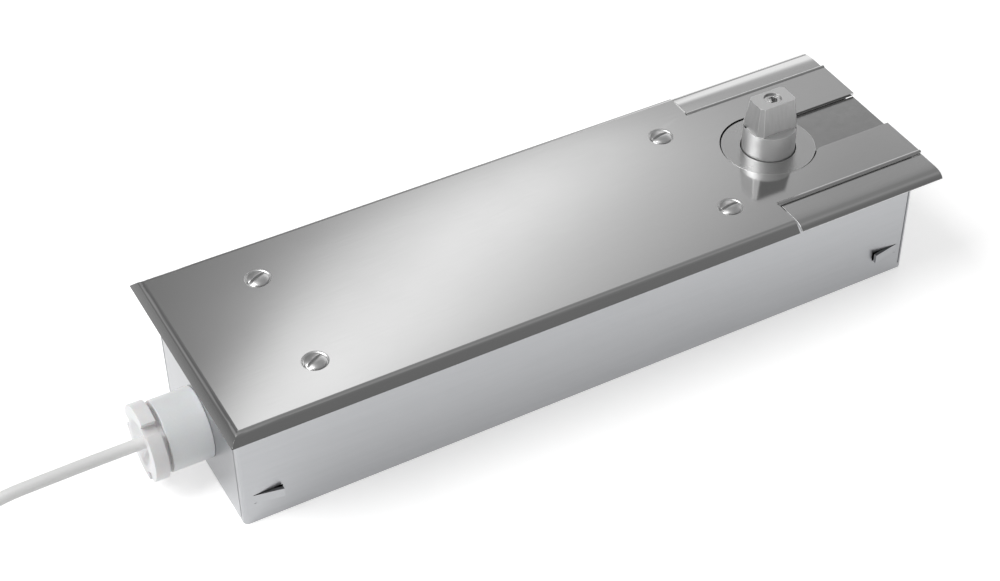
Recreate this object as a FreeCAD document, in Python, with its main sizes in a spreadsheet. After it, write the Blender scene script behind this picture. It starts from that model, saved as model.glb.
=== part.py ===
import FreeCAD, Part
import math
import os
import Sketcher

# Floor spring door closer: a pressed cover plate on a sheet-metal cement box, with a cast
# closer body inside it. A heart cam on the upright spindle pushes a roller and its piston
# against two closing springs. Millimetres; the origin is the foot of the spindle's axis on
# the underside of the box, +X towards the spindle end, +Y to the far long side, +Z up.

Vector = FreeCAD.Vector
doc = FreeCAD.newDocument("floor_spring")
sheet = doc.addObject("Spreadsheet::Sheet", "Sizes")

# Driving sizes, in millimetres, degrees or a plain count
SIZES = {
    "plate_len": 341.0,
    "plate_wid": 109.0,
    "plate_sheet": 1.5,
    "plate_rise": 3.8,
    "plate_edge_slope": 45.0,
    "rim_height": 59.5,
    "spindle_to_end": 56.5,
    "keyhole_gap": 0.8,
    "slot_half": 13.0,
    "slot_mouth_rad": 4.0,
    "panel_half": 38.0,
    "panel_len": 76.5,
    "slit_wid": 1.1,
    "fold_rad": 1.0,
    "fold_sunk": 0.4,
    "strip_drop": 0.8,
    "dimple_rad": 8.5,
    "dimple_flat": 5.8,
    "dimple_depth": 0.8,
    "screw_end_gap": 47.5,
    "screw_setback": 39.0,
    "screw_half": 28.5,
    "cover_screw_dia": 6.0,
    "cover_head_dia": 10.0,
    "cover_head_high": 1.9,
    "cover_head_rim": 0.85,
    "cover_slot_wid": 1.4,
    "cover_slot_deep": 1.1,
    "cover_hole_gap": 0.3,
    "cover_screw_len": 14.0,
    "box_left_gap": 5.5,
    "box_wid": 82.0,
    "box_sheet": 1.5,
    "box_end_gap": 4.1,
    "box_corner_rad": 2.2,
    "tab_len": 13.0,
    "tab_high": 5.0,
    "tab_low": 10.5,
    "tab_end_gap": 5.2,
    "tab_out": 2.4,
    "body_side_gap": 3.5,
    "body_cover_gap": 6.8,
    "lead_gap": 17.0,
    "body_corner_rad": 4.0,
    "lug_len": 11.0,
    "lug_high": 6.5,
    "lug_gap": 1.4,
    "lug_screw_half": 22.0,
    "lug_screw_dia": 6.0,
    "axis_height": 28.0,
    "bore_rad": 20.0,
    "chamber_rad": 27.0,
    "chamber_floor": 12.0,
    "bay_len": 36.5,
    "bay_side_wall": 6.0,
    "bay_floor": 5.5,
    "bay_wall": 8.0,
    "boss_rad": 6.0,
    "shaft_rad": 11.5,
    "collar_rad": 12.0,
    "journal_rad": 8.0,
    "journal_foot": 5.7,
    "spindle_drop": 2.3,
    "running_gap": 0.03,
    "cover_spigot_deep": 6.0,
    "cover_flange_rad": 32.0,
    "cover_flange_high": 2.5,
    "disc_rad": 21.0,
    "disc_drop": 3.5,
    "bearing_wall": 4.0,
    "bearing_high": 5.5,
    "seal_wall": 3.5,
    "seal_high": 3.0,
    "tongue_end_gap": 6.0,
    "tongue_drop": 2.8,
    "insert_collar": 12.3,
    "block_high": 17.0,
    "block_foot_len": 21.4,
    "block_foot_wid": 13.6,
    "block_top_len": 17.0,
    "block_top_wid": 10.6,
    "block_foot_bevel": 2.1,
    "block_top_bevel": 1.3,
    "tail_side": 12.0,
    "tail_len": 14.0,
    "insert_screw_dia": 5.0,
    "insert_head_dia": 8.0,
    "insert_head_high": 5.0,
    "insert_head_deep": 0.8,
    "insert_thread_len": 15.0,
    "hex_key": 4.0,
    "hex_deep": 3.5,
    "thread_spare": 1.0,
    "cam_high": 13.0,
    "cam_base": 24.0,
    "cam_lift": 3.2,
    "cam_gap": 0.1,
    "key_wid": 6.0,
    "key_deep": 3.0,
    "roller_rad": 9.0,
    "roller_high": 12.4,
    "roller_pin_rad": 4.0,
    "fork_gap": 14.0,
    "fork_nose": 8.0,
    "piston_len": 68.0,
    "piston_gap": 0.06,
    "piston_ring_wid": 4.0,
    "piston_ring_deep": 3.0,
    "piston_ring_back": 12.0,
    "check_ball_rad": 3.0,
    "check_bore_rad": 3.5,
    "check_port_rad": 1.8,
    "check_deep": 26.0,
    "check_wire": 0.7,
    "check_turns": 4.0,
    "check_nest": 2.4,
    "check_spring_gap": 0.3,
    "retainer_high": 3.0,
    "plug_rad": 22.0,
    "plug_len": 12.0,
    "plug_ring": 2.5,
    "seat_gap": 7.0,
    "seat_travel": 6.0,
    "seat_flange": 5.0,
    "seat_boss_rad": 7.0,
    "seat_boss_len": 14.0,
    "preload_rad": 5.0,
    "preload_step": 1.0,
    "preload_collar_rad": 8.0,
    "preload_collar": 3.0,
    "preload_head": 5.0,
    "outer_wire": 5.0,
    "outer_mean_rad": 15.8,
    "outer_turns": 8.0,
    "inner_wire": 3.2,
    "inner_mean_rad": 10.0,
    "inner_turns": 10.0,
    "valve_rad": 4.0,
    "valve_len": 16.0,
    "valve_inset": 8.0,
    "valve_first": 64.0,
    "valve_step": 18.0,
    "channel_rad": 1.8,
    "channel_past": 7.0,
    "channel_plug": 4.0,
    "port_rad": 1.5,
    "port_back": 16.0,
    "port_ahead": 24.0,
    "needle_gap": 0.1,
    "needle_cone": 2.0,
    "coil_rad": 11.0,
    "coil_high": 26.0,
    "coil_lift": 3.0,
    "tube_rad": 5.0,
    "tube_wall": 0.8,
    "plunger_travel": 1.5,
    "solenoid_gap": 3.0,
    "terminal_len": 24.0,
    "terminal_wid": 16.0,
    "terminal_high": 15.0,
    "terminal_back": 10.0,
    "terminal_gap": 1.0,
    "terminal_pitch": 7.0,
    "gland_height": 24.5,
    "gland_rad": 15.0,
    "gland_len": 19.0,
    "gland_thread_rad": 10.0,
    "gland_thread_len": 8.0,
    "gland_neck_rad": 12.5,
    "gland_neck_len": 2.2,
    "gland_cap_rad": 17.0,
    "gland_cap_len": 7.0,
    "notch_wid": 5.0,
    "notch_deep": 4.0,
    "locknut_high": 4.5,
    "locknut_flats": 25.0,
    "cable_dia": 5.5,
    "core_dia": 1.6,
    "coil_turn_rad": 28.5,
    "coil_lead": 3.0,
    "strip_gap": 0.2,
    "tab_clear": 0.3,
    "rest_len": 6.0,
    "thrust_gap": 0.1,
    "nose_gap": 0.5,
    "fork_relief": 1.0,
    "check_gap": 0.05,
    "plunger_stem": 1.5,
    "plunger_spring_len": 6.0,
    "plunger_turns": 4.0,
    "stem_gap": 0.2,
    "port_deep": 2.5,
    "tube_foot_rad": 9.0,
    "cover_bore_gap": 0.5,
    "shaft_bevel": 0.8,
    "valve_sunk": 1.0,
    "valve_slot": 1.2,
    "valve_slot_deep": 1.7,
    "pin_inset": 1.5,
    "seat_rim_gap": 0.1,
    "well_rad": 2.2,
    "well_deep": 5.0,
    "terminal_slot_wid": 0.6,
    "terminal_slot_deep": 0.8,
    "way_height": 5.0,
    "cable_gap": 0.1,
    "gland_wall": 2.5,
    "gland_floor": 3.0,
    "gland_skirt": 9.0,
    "gland_cup_rad": 11.0,
    "gland_cup_deep": 5.0,
    "lug_head_rad": 5.0,
    "lug_head_high": 6.0,
    "lug_tip_gap": 0.2,
    "jacket_inset": 4.0,
    "lead_join": 3.2,
}


class Size:
    """A sheet expression with its present number: arithmetic on it keeps both."""

    def __init__(self, text, number):
        self.text = text
        self.number = number

    def join(self, sign, other, number, turned=False):
        left = self.text
        right = other.text if isinstance(other, Size) else repr(float(other))
        if turned:
            left, right = right, left
        return Size("(" + left + " " + sign + " " + right + ")", number)

    def __add__(self, other):
        return self.join("+", other, self.number + plain(other))

    def __radd__(self, other):
        return self.join("+", other, plain(other) + self.number, True)

    def __sub__(self, other):
        return self.join("-", other, self.number - plain(other))

    def __rsub__(self, other):
        return self.join("-", other, plain(other) - self.number, True)

    def __mul__(self, other):
        return self.join("*", other, self.number * plain(other))

    def __rmul__(self, other):
        return self.join("*", other, plain(other) * self.number, True)

    def __truediv__(self, other):
        return self.join("/", other, self.number / plain(other))

    def __neg__(self):
        return Size("(0 - " + self.text + ")", -self.number)


def plain(value):
    """The number of a Size, or the number itself."""
    return value.number if isinstance(value, Size) else float(value)


class Names:
    """The driving sizes by name."""


sizes = Names()
for row, (name, number) in enumerate(SIZES.items(), start=1):
    sheet.set("A%d" % row, name)
    sheet.set("B%d" % row, str(number))
    sheet.setAlias("B%d" % row, name)
    setattr(sizes, name, Size("Sizes." + name, number))
doc.recompute()
s = sizes

exported = []


def bind(thing, name, value):
    """Set a property or constraint of a document object from the sheet."""
    if isinstance(value, Size):
        thing.setExpression(name, value.text)


def part_body(label):
    """A new PartDesign body, which becomes one sub-part."""
    body = doc.addObject("PartDesign::Body", label)
    body.Label = label
    exported.append(body)
    return body


def datum(body, role):
    """One of the body's own origin planes or axes."""
    return [item for item in body.Origin.OriginFeatures if item.Role == role][0]


def sketch_on(body, role, offset=None):
    """A sketch on one of the body's origin planes, moved along its normal."""
    sketch = body.newObject("Sketcher::SketchObject", body.Label + "_sketch")
    sketch.AttachmentSupport = (datum(body, role), [""])
    sketch.MapMode = "FlatFace"
    if offset is not None:
        sketch.AttachmentOffset = FreeCAD.Placement(Vector(0, 0, plain(offset)), FreeCAD.Rotation())
        bind(sketch, "AttachmentOffset.Base.z", offset)
    return sketch


def pin_point(sketch, edge, corner, place):
    """Tie one vertex of a sketch to its two coordinates."""
    for axis, value in zip(("DistanceX", "DistanceY"), place):
        if plain(value) == 0 and not isinstance(value, Size):
            line = -2 if axis == "DistanceX" else -1
            sketch.addConstraint(Sketcher.Constraint("PointOnObject", edge, corner, line))
            continue
        index = sketch.addConstraint(Sketcher.Constraint(axis, -1, 1, edge, corner, plain(value)))
        bind(sketch, "Constraints[%d]" % index, value)


def polygon(sketch, points):
    """A closed outline of straight edges, each corner tied to its coordinates."""
    first = sketch.GeometryCount
    count = len(points)
    for index, start in enumerate(points):
        end = points[(index + 1) % count]
        ends = [Vector(plain(p[0]), plain(p[1]), 0) for p in (start, end)]
        sketch.addGeometry(Part.LineSegment(*ends), False)
    for index in range(count):
        following = first + (index + 1) % count
        sketch.addConstraint(Sketcher.Constraint("Coincident", first + index, 2, following, 1))
    for index, place in enumerate(points):
        pin_point(sketch, first + index, 1, place)
    return sketch


def rectangle(sketch, x_low, x_high, y_low, y_high):
    """A rectangle between two pairs of coordinates."""
    corners = [(x_low, y_low), (x_high, y_low), (x_high, y_high), (x_low, y_high)]
    return polygon(sketch, corners)


def circle(sketch, x, y, radius):
    """A circle tied to its centre and radius."""
    centre = Vector(plain(x), plain(y), 0)
    index = sketch.addGeometry(Part.Circle(centre, Vector(0, 0, 1), plain(radius)), False)
    pin_point(sketch, index, 3, (x, y))
    place = sketch.addConstraint(Sketcher.Constraint("Radius", index, plain(radius)))
    bind(sketch, "Constraints[%d]" % place, radius)
    return sketch


def grow(body, kind, sketch, length, turned=False, taper=None):
    """A pad or pocket of a sketch. A pocket has to take material away."""
    doc.recompute()
    before = body.Shape.Volume if body.Tip else 0.0
    feature = body.newObject("PartDesign::" + kind, body.Label + "_" + kind.lower())
    feature.Profile = sketch
    feature.Length = plain(length)
    bind(feature, "Length", length)
    feature.Reversed = turned
    if taper is not None:
        feature.TaperAngle = plain(taper)
        bind(feature, "TaperAngle", taper)
    doc.recompute()
    gained = body.Shape.Volume - before
    if (gained <= 0) == (kind == "Pad"):
        raise ValueError(feature.Name + " changes nothing")
    return feature


def pad(body, sketch, length, turned=False, taper=None):
    return grow(body, "Pad", sketch, length, turned, taper)


def pocket(body, sketch, length, turned=False, taper=None):
    return grow(body, "Pocket", sketch, length, turned, taper)


def spin(body, kind, sketch, axis):
    """A revolution or groove of a sketch about one of its axes."""
    doc.recompute()
    before = body.Shape.Volume if body.Tip else 0.0
    feature = body.newObject("PartDesign::" + kind, body.Label + "_" + kind.lower())
    feature.Profile = sketch
    feature.ReferenceAxis = (sketch, [axis])
    feature.Angle = 360
    doc.recompute()
    if (body.Shape.Volume - before <= 0) == (kind == "Revolution"):
        raise ValueError(feature.Name + " changes nothing")
    return feature


def edges_where(body, test):
    """Names of the body's edges whose middle point and direction pass a test."""
    doc.recompute()
    names = []
    for index, edge in enumerate(body.Shape.Edges, start=1):
        middle = edge.valueAt((edge.FirstParameter + edge.LastParameter) / 2)
        along = edge.tangentAt((edge.FirstParameter + edge.LastParameter) / 2)
        if test(middle, along, edge):
            names.append("Edge%d" % index)
    return names


def round_edges(body, names, radius, kind="Fillet"):
    """A fillet or chamfer of named edges."""
    if not names:
        raise ValueError(body.Label + " has no such edges")
    base = body.Tip
    feature = body.newObject("PartDesign::" + kind, body.Label + "_" + kind.lower())
    feature.Base = (base, names)
    field = "Radius" if kind == "Fillet" else "Size"
    setattr(feature, field, plain(radius))
    bind(feature, field, radius)
    doc.recompute()
    if "Invalid" in feature.State:
        raise ValueError(feature.Name + " failed")
    return feature


def place(thing, x=0.0, y=0.0, z=0.0, turn=None):
    """Put a sub-part where it belongs, with its place tied to the sheet."""
    rotation = turn if turn is not None else FreeCAD.Rotation()
    thing.Placement = FreeCAD.Placement(Vector(plain(x), plain(y), plain(z)), rotation)
    for name, value in (("x", x), ("y", y), ("z", z)):
        bind(thing, "Placement.Base." + name, value)
    return thing


ALONG_X = FreeCAD.Rotation(Vector(0, 1, 0), 90)
AGAINST_X = FreeCAD.Rotation(Vector(0, 1, 0), -90)


def turned_part(label, profile):
    """A turned piece: its half profile (radius, height) revolved about the local Z axis."""
    body = part_body(label)
    spin(body, "Revolution", polygon(sketch_on(body, "XZ_Plane"), profile), "V_Axis")
    return body


def tube_profile(inner, outer, low, high):
    """The half profile of a plain ring."""
    return [(inner, low), (outer, low), (outer, high), (inner, high)]


def shape_part(label, shape):
    """A sub-part whose form is worked out here from the sheet's numbers."""
    feature = doc.addObject("Part::Feature", label)
    feature.Label = label
    feature.Shape = shape
    exported.append(feature)
    return feature


# Places along the length that several pieces share
plate_right = s.spindle_to_end
plate_left = plate_right - s.plate_len
box_right = plate_right - s.box_end_gap
box_left = plate_left + s.box_left_gap
body_right = box_right - s.box_sheet - s.lug_gap - s.lug_len
body_left = box_left + s.box_sheet + s.lead_gap + s.lug_len
plate_top = s.rim_height + s.plate_rise
plate_under = plate_top - s.plate_sheet
dimple_under = plate_under - s.dimple_depth
body_foot = s.box_sheet
body_top = plate_under - s.body_cover_gap
body_half = s.box_wid / 2 - s.box_sheet - s.body_side_gap
bay_half = body_half - s.bay_side_wall
keyhole_rad = s.disc_rad + s.keyhole_gap
spindle_top = plate_top - s.spindle_drop
spigot_foot = body_top - s.cover_spigot_deep
screw_right = -s.screw_setback
screw_left = plate_left + s.screw_end_gap
panel_left = plate_right - s.panel_len
bay_left = body_left + s.bay_wall
bay_right = bay_left + s.bay_len
screw_places = [(x, y) for x in (screw_left, screw_right) for y in (-s.screw_half, s.screw_half)]


def make_cement_box():
    """Folded sheet tub that is cast into the floor, with an anchor tab near each corner."""
    body = part_body("cement_box")
    half = s.box_wid / 2
    outer = rectangle(sketch_on(body, "XY_Plane"), box_left, box_right, -half, half)
    pad(body, outer, plate_under)
    upright = edges_where(body, lambda p, d, e: abs(d.z) > 0.9)
    round_edges(body, upright, s.box_corner_rad)
    inner = sketch_on(body, "XY_Plane", s.box_sheet)
    side = half - s.box_sheet
    rectangle(inner, box_left + s.box_sheet, box_right - s.box_sheet, -side, side)
    pocket(body, inner, plate_under, True)
    inside = edges_where(body, lambda p, d, e: abs(d.z) > 0.9 and abs(p.y) < side.number + 0.01
                         and box_left.number + 1 < p.x < box_right.number - 1)
    round_edges(body, inside, s.box_corner_rad - s.box_sheet)
    # Windows of the anchor tabs in the two long walls, then the tabs bent out of them
    windows = sketch_on(body, "XZ_Plane", -half - 1)
    for root, way in ((box_left + s.tab_end_gap, 1), (box_right - s.tab_end_gap, -1)):
        free = root + way * s.tab_len
        low, high = (root, free) if way > 0 else (free, root)
        rectangle(windows, low, high, s.tab_low, s.tab_low + s.tab_high)
    pocket(body, windows, s.box_wid + 2, True)
    leaves = sketch_on(body, "XY_Plane", s.tab_low + s.tab_clear)
    for root, way in ((box_left + s.tab_end_gap, 1), (box_right - s.tab_end_gap, -1)):
        free = root + way * (s.tab_len - s.tab_clear)
        for face in (-1, 1):
            corners = [(root, face * half), (root, face * side)]
            corners += [(free, face * (side + s.tab_out)), (free, face * (half + s.tab_out))]
            polygon(leaves, corners)
    pad(body, leaves, s.tab_high - 2 * s.tab_clear)
    # The long walls step down under the loose edge strips
    steps = sketch_on(body, "XY_Plane", plate_under + 1)
    for face in (-1, 1):
        low, high = sorted((face * s.panel_half, face * (half + 1)), key=plain)
        rectangle(steps, panel_left, box_right + 1, low, high)
    pocket(body, steps, s.strip_drop + 1)
    # Holes for the gland and for the screws that hold the closer body
    gland = circle(sketch_on(body, "YZ_Plane", box_left - 1), 0, s.gland_height, s.gland_thread_rad)
    pocket(body, gland, s.box_sheet + 2, True)
    floor = sketch_on(body, "XY_Plane", s.box_sheet + 1)
    for x in (body_left - s.lug_len / 2, body_right + s.lug_len / 2):
        for y in (-s.lug_screw_half, s.lug_screw_half):
            circle(floor, x, y, s.lug_screw_dia / 2)
    pocket(body, floor, s.box_sheet + 2)


def make_cover_plate():
    """Pressed stainless cover: sloped edges, four dimples, keyhole slot and a stepped end."""
    body = part_body("cover_plate")
    half = s.plate_wid / 2
    blank_right = plate_right + 2 * s.plate_rise
    outer = rectangle(sketch_on(body, "XY_Plane", s.rim_height), plate_left, blank_right, -half, half)
    pad(body, outer, s.plate_rise, taper=-s.plate_edge_slope)
    crest = edges_where(body, lambda p, d, e: p.z > plate_top.number - 0.01)
    round_edges(body, crest, s.plate_rise)
    # The underside follows the top at the sheet's thickness
    slant = s.plate_sheet * math.sqrt(2)
    under = sketch_on(body, "XY_Plane", s.rim_height)
    rectangle(under, plate_left + slant, blank_right - slant, slant - half, half - slant)
    pocket(body, under, s.plate_rise - s.plate_sheet, True, taper=-s.plate_edge_slope)
    # The spindle end is a plain sheared edge
    end = sketch_on(body, "XY_Plane", plate_top + 1)
    rectangle(end, plate_right, blank_right + 1, -half - 1, half + 1)
    pocket(body, end, s.plate_rise + 2)
    # Dimples under the four screws: metal pushed down, then the hollow above it
    bulge = body.newObject("Sketcher::SketchObject", "cover_plate_bulge")
    bulge.AttachmentSupport = (datum(body, "XY_Plane"), [""])
    bulge.MapMode = "FlatFace"
    bulge.AttachmentOffset = FreeCAD.Placement(Vector(0, 0, plate_under.number), FreeCAD.Rotation())
    bind(bulge, "AttachmentOffset.Base.z", plate_under)
    for x, y in screw_places:
        circle(bulge, x, y, s.dimple_rad)
    pad(body, bulge, s.dimple_depth, True, taper=-dimple_slope())
    hollow = sketch_on(body, "XY_Plane", plate_top)
    for x, y in screw_places:
        circle(hollow, x, y, s.dimple_rad)
    pocket(body, hollow, s.dimple_depth, taper=-dimple_slope())
    holes = sketch_on(body, "XY_Plane", plate_top)
    for x, y in screw_places:
        circle(holes, x, y, s.cover_screw_dia / 2 + s.cover_hole_gap)
    pocket(body, holes, s.plate_rise + s.plate_sheet)
    # Keyhole for the spindle: a round hole and a slot to the end of the plate
    eye = circle(sketch_on(body, "XY_Plane", plate_top + 1), 0, 0, keyhole_rad)
    pocket(body, eye, s.plate_rise + s.plate_sheet)
    slot = sketch_on(body, "XY_Plane", plate_top + 1)
    rectangle(slot, 0, plate_right + 1, -s.slot_half, s.slot_half)
    pocket(body, slot, s.plate_rise + s.plate_sheet)
    mouth = edges_where(body, lambda p, d, e: abs(d.z) > 0.9 and 5 < p.x < keyhole_rad.number
                        and abs(abs(p.y) - s.slot_half.number) < 0.01)
    round_edges(body, mouth, s.slot_mouth_rad)
    # The two long edges are cut away beside the spindle for the loose edge strips
    sides = sketch_on(body, "XY_Plane", plate_top + 1)
    rectangle(sides, panel_left, plate_right + 1, s.panel_half, half + 1)
    rectangle(sides, panel_left, plate_right + 1, -half - 1, -s.panel_half)
    pocket(body, sides, s.plate_rise + s.plate_sheet + 1)
    # Raised folds along the cut edges
    folds = sketch_on(body, "YZ_Plane", panel_left)
    for face in (-1, 1):
        circle(folds, face * (s.panel_half - s.fold_rad), plate_top - s.fold_sunk, s.fold_rad)
    pad(body, folds, s.panel_len)


def dimple_slope():
    """Slope of a dimple's flank from its top and foot radii and its depth."""
    run = s.dimple_rad.number - s.dimple_flat.number
    return math.degrees(math.atan2(run, s.dimple_depth.number))


def make_edge_strip(label, face):
    """Loose strip beside the keyhole, a little lower than the plate, with its own sloped edge."""
    body = part_body(label)
    half = s.plate_wid / 2
    top = plate_top - s.strip_drop
    outline = sketch_on(body, "YZ_Plane", panel_left + s.slit_wid)
    inner = s.panel_half + s.strip_gap
    fall = top - s.rim_height
    slant = s.plate_sheet * math.sqrt(2)
    points = [(inner, top), (inner, top - s.plate_sheet)]
    points += [(half - fall - slant + s.plate_sheet, top - s.plate_sheet), (half - slant, s.rim_height)]
    points += [(half, s.rim_height), (half - fall, top)]
    polygon(outline, [(face * y, z) for y, z in points])
    pad(body, outline, s.panel_len - s.slit_wid)
    crest = edges_where(body, lambda p, d, e: abs(d.x) > 0.9 and abs(p.z - top.number) < 0.01
                        and abs(p.y) > inner.number + 1)
    round_edges(body, crest, fall)


def make_slot_tongue():
    """Filler plate in the slot of the cover, with a hollow end against the bearing cover."""
    body = part_body("slot_tongue")
    top = plate_top - s.tongue_drop
    base = sketch_on(body, "XY_Plane", top - s.plate_sheet)
    wide = s.slot_half - s.strip_gap
    rectangle(base, s.collar_rad, plate_right - s.tongue_end_gap, -wide, wide)
    pad(body, base, s.plate_sheet)
    eye = circle(sketch_on(body, "XY_Plane", top + 1), 0, 0, s.disc_rad + s.strip_gap)
    pocket(body, eye, s.plate_sheet + 2)


def make_cover_screws():
    """Four slotted raised-head screws; their slots stand as they were tightened."""
    radius = s.cover_head_dia.number / 2
    high = s.cover_head_high.number
    shank = s.cover_screw_dia.number / 2
    rim = s.cover_head_rim.number
    crown = (high - rim) / 2 + radius * radius / (2 * (high - rim))
    head = Part.makeCylinder(radius, high, Vector(0, 0, 0))
    dome = Part.makeSphere(crown, Vector(0, 0, high - crown))
    head = head.common(dome)
    wide, deep = s.cover_slot_wid.number, s.cover_slot_deep.number
    slot = Part.makeBox(3 * radius, wide, high, Vector(-1.5 * radius, -wide / 2, high - deep))
    screw = head.cut(slot).fuse(Part.makeCylinder(shank, s.cover_screw_len.number, Vector(0, 0, 0),
                                                  Vector(0, 0, -1))).removeSplitter()
    turns = (26.0, 21.0, 3.0, 7.0)
    seat = plain(plate_top - s.dimple_depth)
    copies = []
    for (x, y), turn in zip(screw_places, turns):
        copy = screw.copy()
        copy.rotate(Vector(0, 0, 0), Vector(0, 0, 1), turn)
        copy.translate(Vector(plain(x), plain(y), seat))
        copies.append(copy)
    shape_part("cover_screws", Part.makeCompound(copies))


def make_closer_body():
    """Iron casting: spring bore, cam chamber, electrical bay, screw bosses and end lugs."""
    body = part_body("closer_body")
    base = sketch_on(body, "XY_Plane", body_foot)
    rectangle(base, body_left, body_right, -body_half, body_half)
    pad(body, base, body_top - body_foot)
    corners = edges_where(body, lambda p, d, e: abs(d.z) > 0.9)
    round_edges(body, corners, s.body_corner_rad)
    lugs = sketch_on(body, "XY_Plane", body_foot)
    rectangle(lugs, body_left - s.lug_len, body_left, -bay_half, bay_half)
    rectangle(lugs, body_right, body_right + s.lug_len, -bay_half, bay_half)
    pad(body, lugs, s.lug_high)
    rest = sketch_on(body, "XY_Plane", body_top)
    rectangle(rest, body_right - s.rest_len, body_right, -s.slot_half, s.slot_half)
    pad(body, rest, plate_top - s.tongue_drop - s.plate_sheet - body_top)
    # Cam chamber from above, then the spring bore that runs into it from the bay
    chamber = circle(sketch_on(body, "XY_Plane", body_top + 1), 0, 0, s.chamber_rad)
    pocket(body, chamber, body_top + 1 - s.chamber_floor)
    pit = circle(sketch_on(body, "XY_Plane", s.chamber_floor + 1), 0, 0, lower_bearing_rad)
    pocket(body, pit, s.bearing_high + 1)
    sump = circle(sketch_on(body, "XY_Plane", s.chamber_floor), 0, 0, s.journal_rad + 1)
    pocket(body, sump, s.chamber_floor - s.journal_foot + s.thrust_gap)
    bore = circle(sketch_on(body, "YZ_Plane", bay_right), 0, s.axis_height, s.bore_rad)
    pocket(body, bore, bore_end - bay_right, True)
    seat = circle(sketch_on(body, "YZ_Plane", bay_right), 0, s.axis_height, s.plug_rad)
    pocket(body, seat, s.plug_len, True)
    bay = sketch_on(body, "XY_Plane", body_top + 1)
    rectangle(bay, bay_left, bay_right, -bay_half, bay_half)
    pocket(body, bay, body_top + 1 - s.bay_floor)
    # Columns for the four cover screws; two of them stand in the corners of the bay
    columns = sketch_on(body, "XY_Plane", s.bay_floor)
    for x, y in screw_places:
        circle(columns, x, y, s.boss_rad)
    pad(body, columns, dimple_under - s.bay_floor)
    entry = circle(sketch_on(body, "YZ_Plane", body_left - 1), 0, s.gland_height, s.cable_dia)
    pocket(body, entry, s.bay_wall + 2, True)
    # Threaded holes for the cover screws, lug holes, valve holes and their oil channels
    tapped = sketch_on(body, "XY_Plane", dimple_under + 1)
    for x, y in screw_places:
        circle(tapped, x, y, s.cover_screw_dia / 2)
    pocket(body, tapped, s.cover_screw_len + 1)
    lug_holes = sketch_on(body, "XY_Plane", body_foot + s.lug_high + 1)
    for x in lug_screw_places:
        for y in (-s.lug_screw_half, s.lug_screw_half):
            circle(lug_holes, x, y, s.lug_screw_dia / 2)
    pocket(body, lug_holes, s.lug_high + 2)
    valve_holes = sketch_on(body, "XY_Plane", body_top + 1)
    for x, y in valve_places.values():
        circle(valve_holes, x, y, s.valve_rad)
    pocket(body, valve_holes, s.valve_len + s.valve_sunk + 1)
    needles = sketch_on(body, "XY_Plane", body_top + 1)
    for x, y in valve_places.values():
        circle(needles, x, y, s.port_rad)
    pocket(body, needles, body_top + 1 - s.axis_height)
    oil = sketch_on(body, "YZ_Plane", bay_right)
    for y in (-valve_half, valve_half):
        circle(oil, y, s.axis_height, s.channel_rad)
    pocket(body, oil, s.channel_past - s.valve_first - bay_right, True)
    ports = sketch_on(body, "XZ_Plane", -valve_half)
    for x in (piston_tail - s.port_back, piston_tail + s.port_ahead):
        circle(ports, x, s.axis_height, s.port_rad)
    pocket(body, ports, 2 * valve_half, True)
    port = sketch_on(body, "XY_Plane", s.bay_floor + 1)
    circle(port, solenoid_x, solenoid_y, s.plunger_stem + s.stem_gap)
    pocket(body, port, s.port_deep + 1)


def make_bearing_cover():
    """Round cover over the cam chamber; its raised disc shows in the keyhole."""
    top = plate_top - s.disc_drop
    hole = s.collar_rad + s.cover_bore_gap
    profile = [(hole, top), (s.disc_rad, top), (s.disc_rad, body_top + s.cover_flange_high)]
    profile += [(s.cover_flange_rad, body_top + s.cover_flange_high), (s.cover_flange_rad, body_top)]
    profile += [(s.chamber_rad, body_top), (s.chamber_rad, spigot_foot)]
    profile += [(upper_bearing_rad, spigot_foot), (upper_bearing_rad, upper_bearing_top)]
    profile += [(seal_rad, upper_bearing_top), (seal_rad, seal_top), (hole, seal_top)]
    turned_part("bearing_cover", profile)


def make_bearings():
    """Needle bearings above and below the cam, and the oil seal above the upper one."""
    inner = s.shaft_rad + s.running_gap
    turned_part("upper_bearing", tube_profile(inner, upper_bearing_rad, spigot_foot,
                                              upper_bearing_top))
    turned_part("shaft_seal", tube_profile(inner, seal_rad, upper_bearing_top, seal_top))
    lower = s.journal_rad + s.running_gap
    floor = s.chamber_floor - s.bearing_high
    turned_part("lower_bearing", tube_profile(lower, lower_bearing_rad, floor, s.chamber_floor))


def make_spindle():
    """Hardened shaft with a keyway for the cam and a square socket for the insert."""
    body = part_body("spindle")
    shoulder = s.chamber_floor + s.thrust_gap
    edge = s.shaft_bevel
    profile = [(0, s.journal_foot), (s.journal_rad - edge, s.journal_foot)]
    profile += [(s.journal_rad, s.journal_foot + edge), (s.journal_rad, shoulder)]
    profile += [(s.shaft_rad, shoulder), (s.shaft_rad, spindle_top), (0, spindle_top)]
    spin(body, "Revolution", polygon(sketch_on(body, "XZ_Plane"), profile), "V_Axis")
    keyway = sketch_on(body, "XY_Plane", cam_top)
    rectangle(keyway, s.shaft_rad - s.key_deep, s.shaft_rad + 1, -s.key_wid / 2, s.key_wid / 2)
    pocket(body, keyway, s.cam_high)
    socket = sketch_on(body, "XY_Plane", spindle_top)
    side = s.tail_side / 2
    rectangle(socket, -side, side, -side, side)
    pocket(body, socket, s.tail_len)
    thread = circle(sketch_on(body, "XY_Plane", spindle_top), 0, 0, s.insert_screw_dia / 2)
    pocket(body, thread, s.tail_len + s.insert_thread_len)


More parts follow.
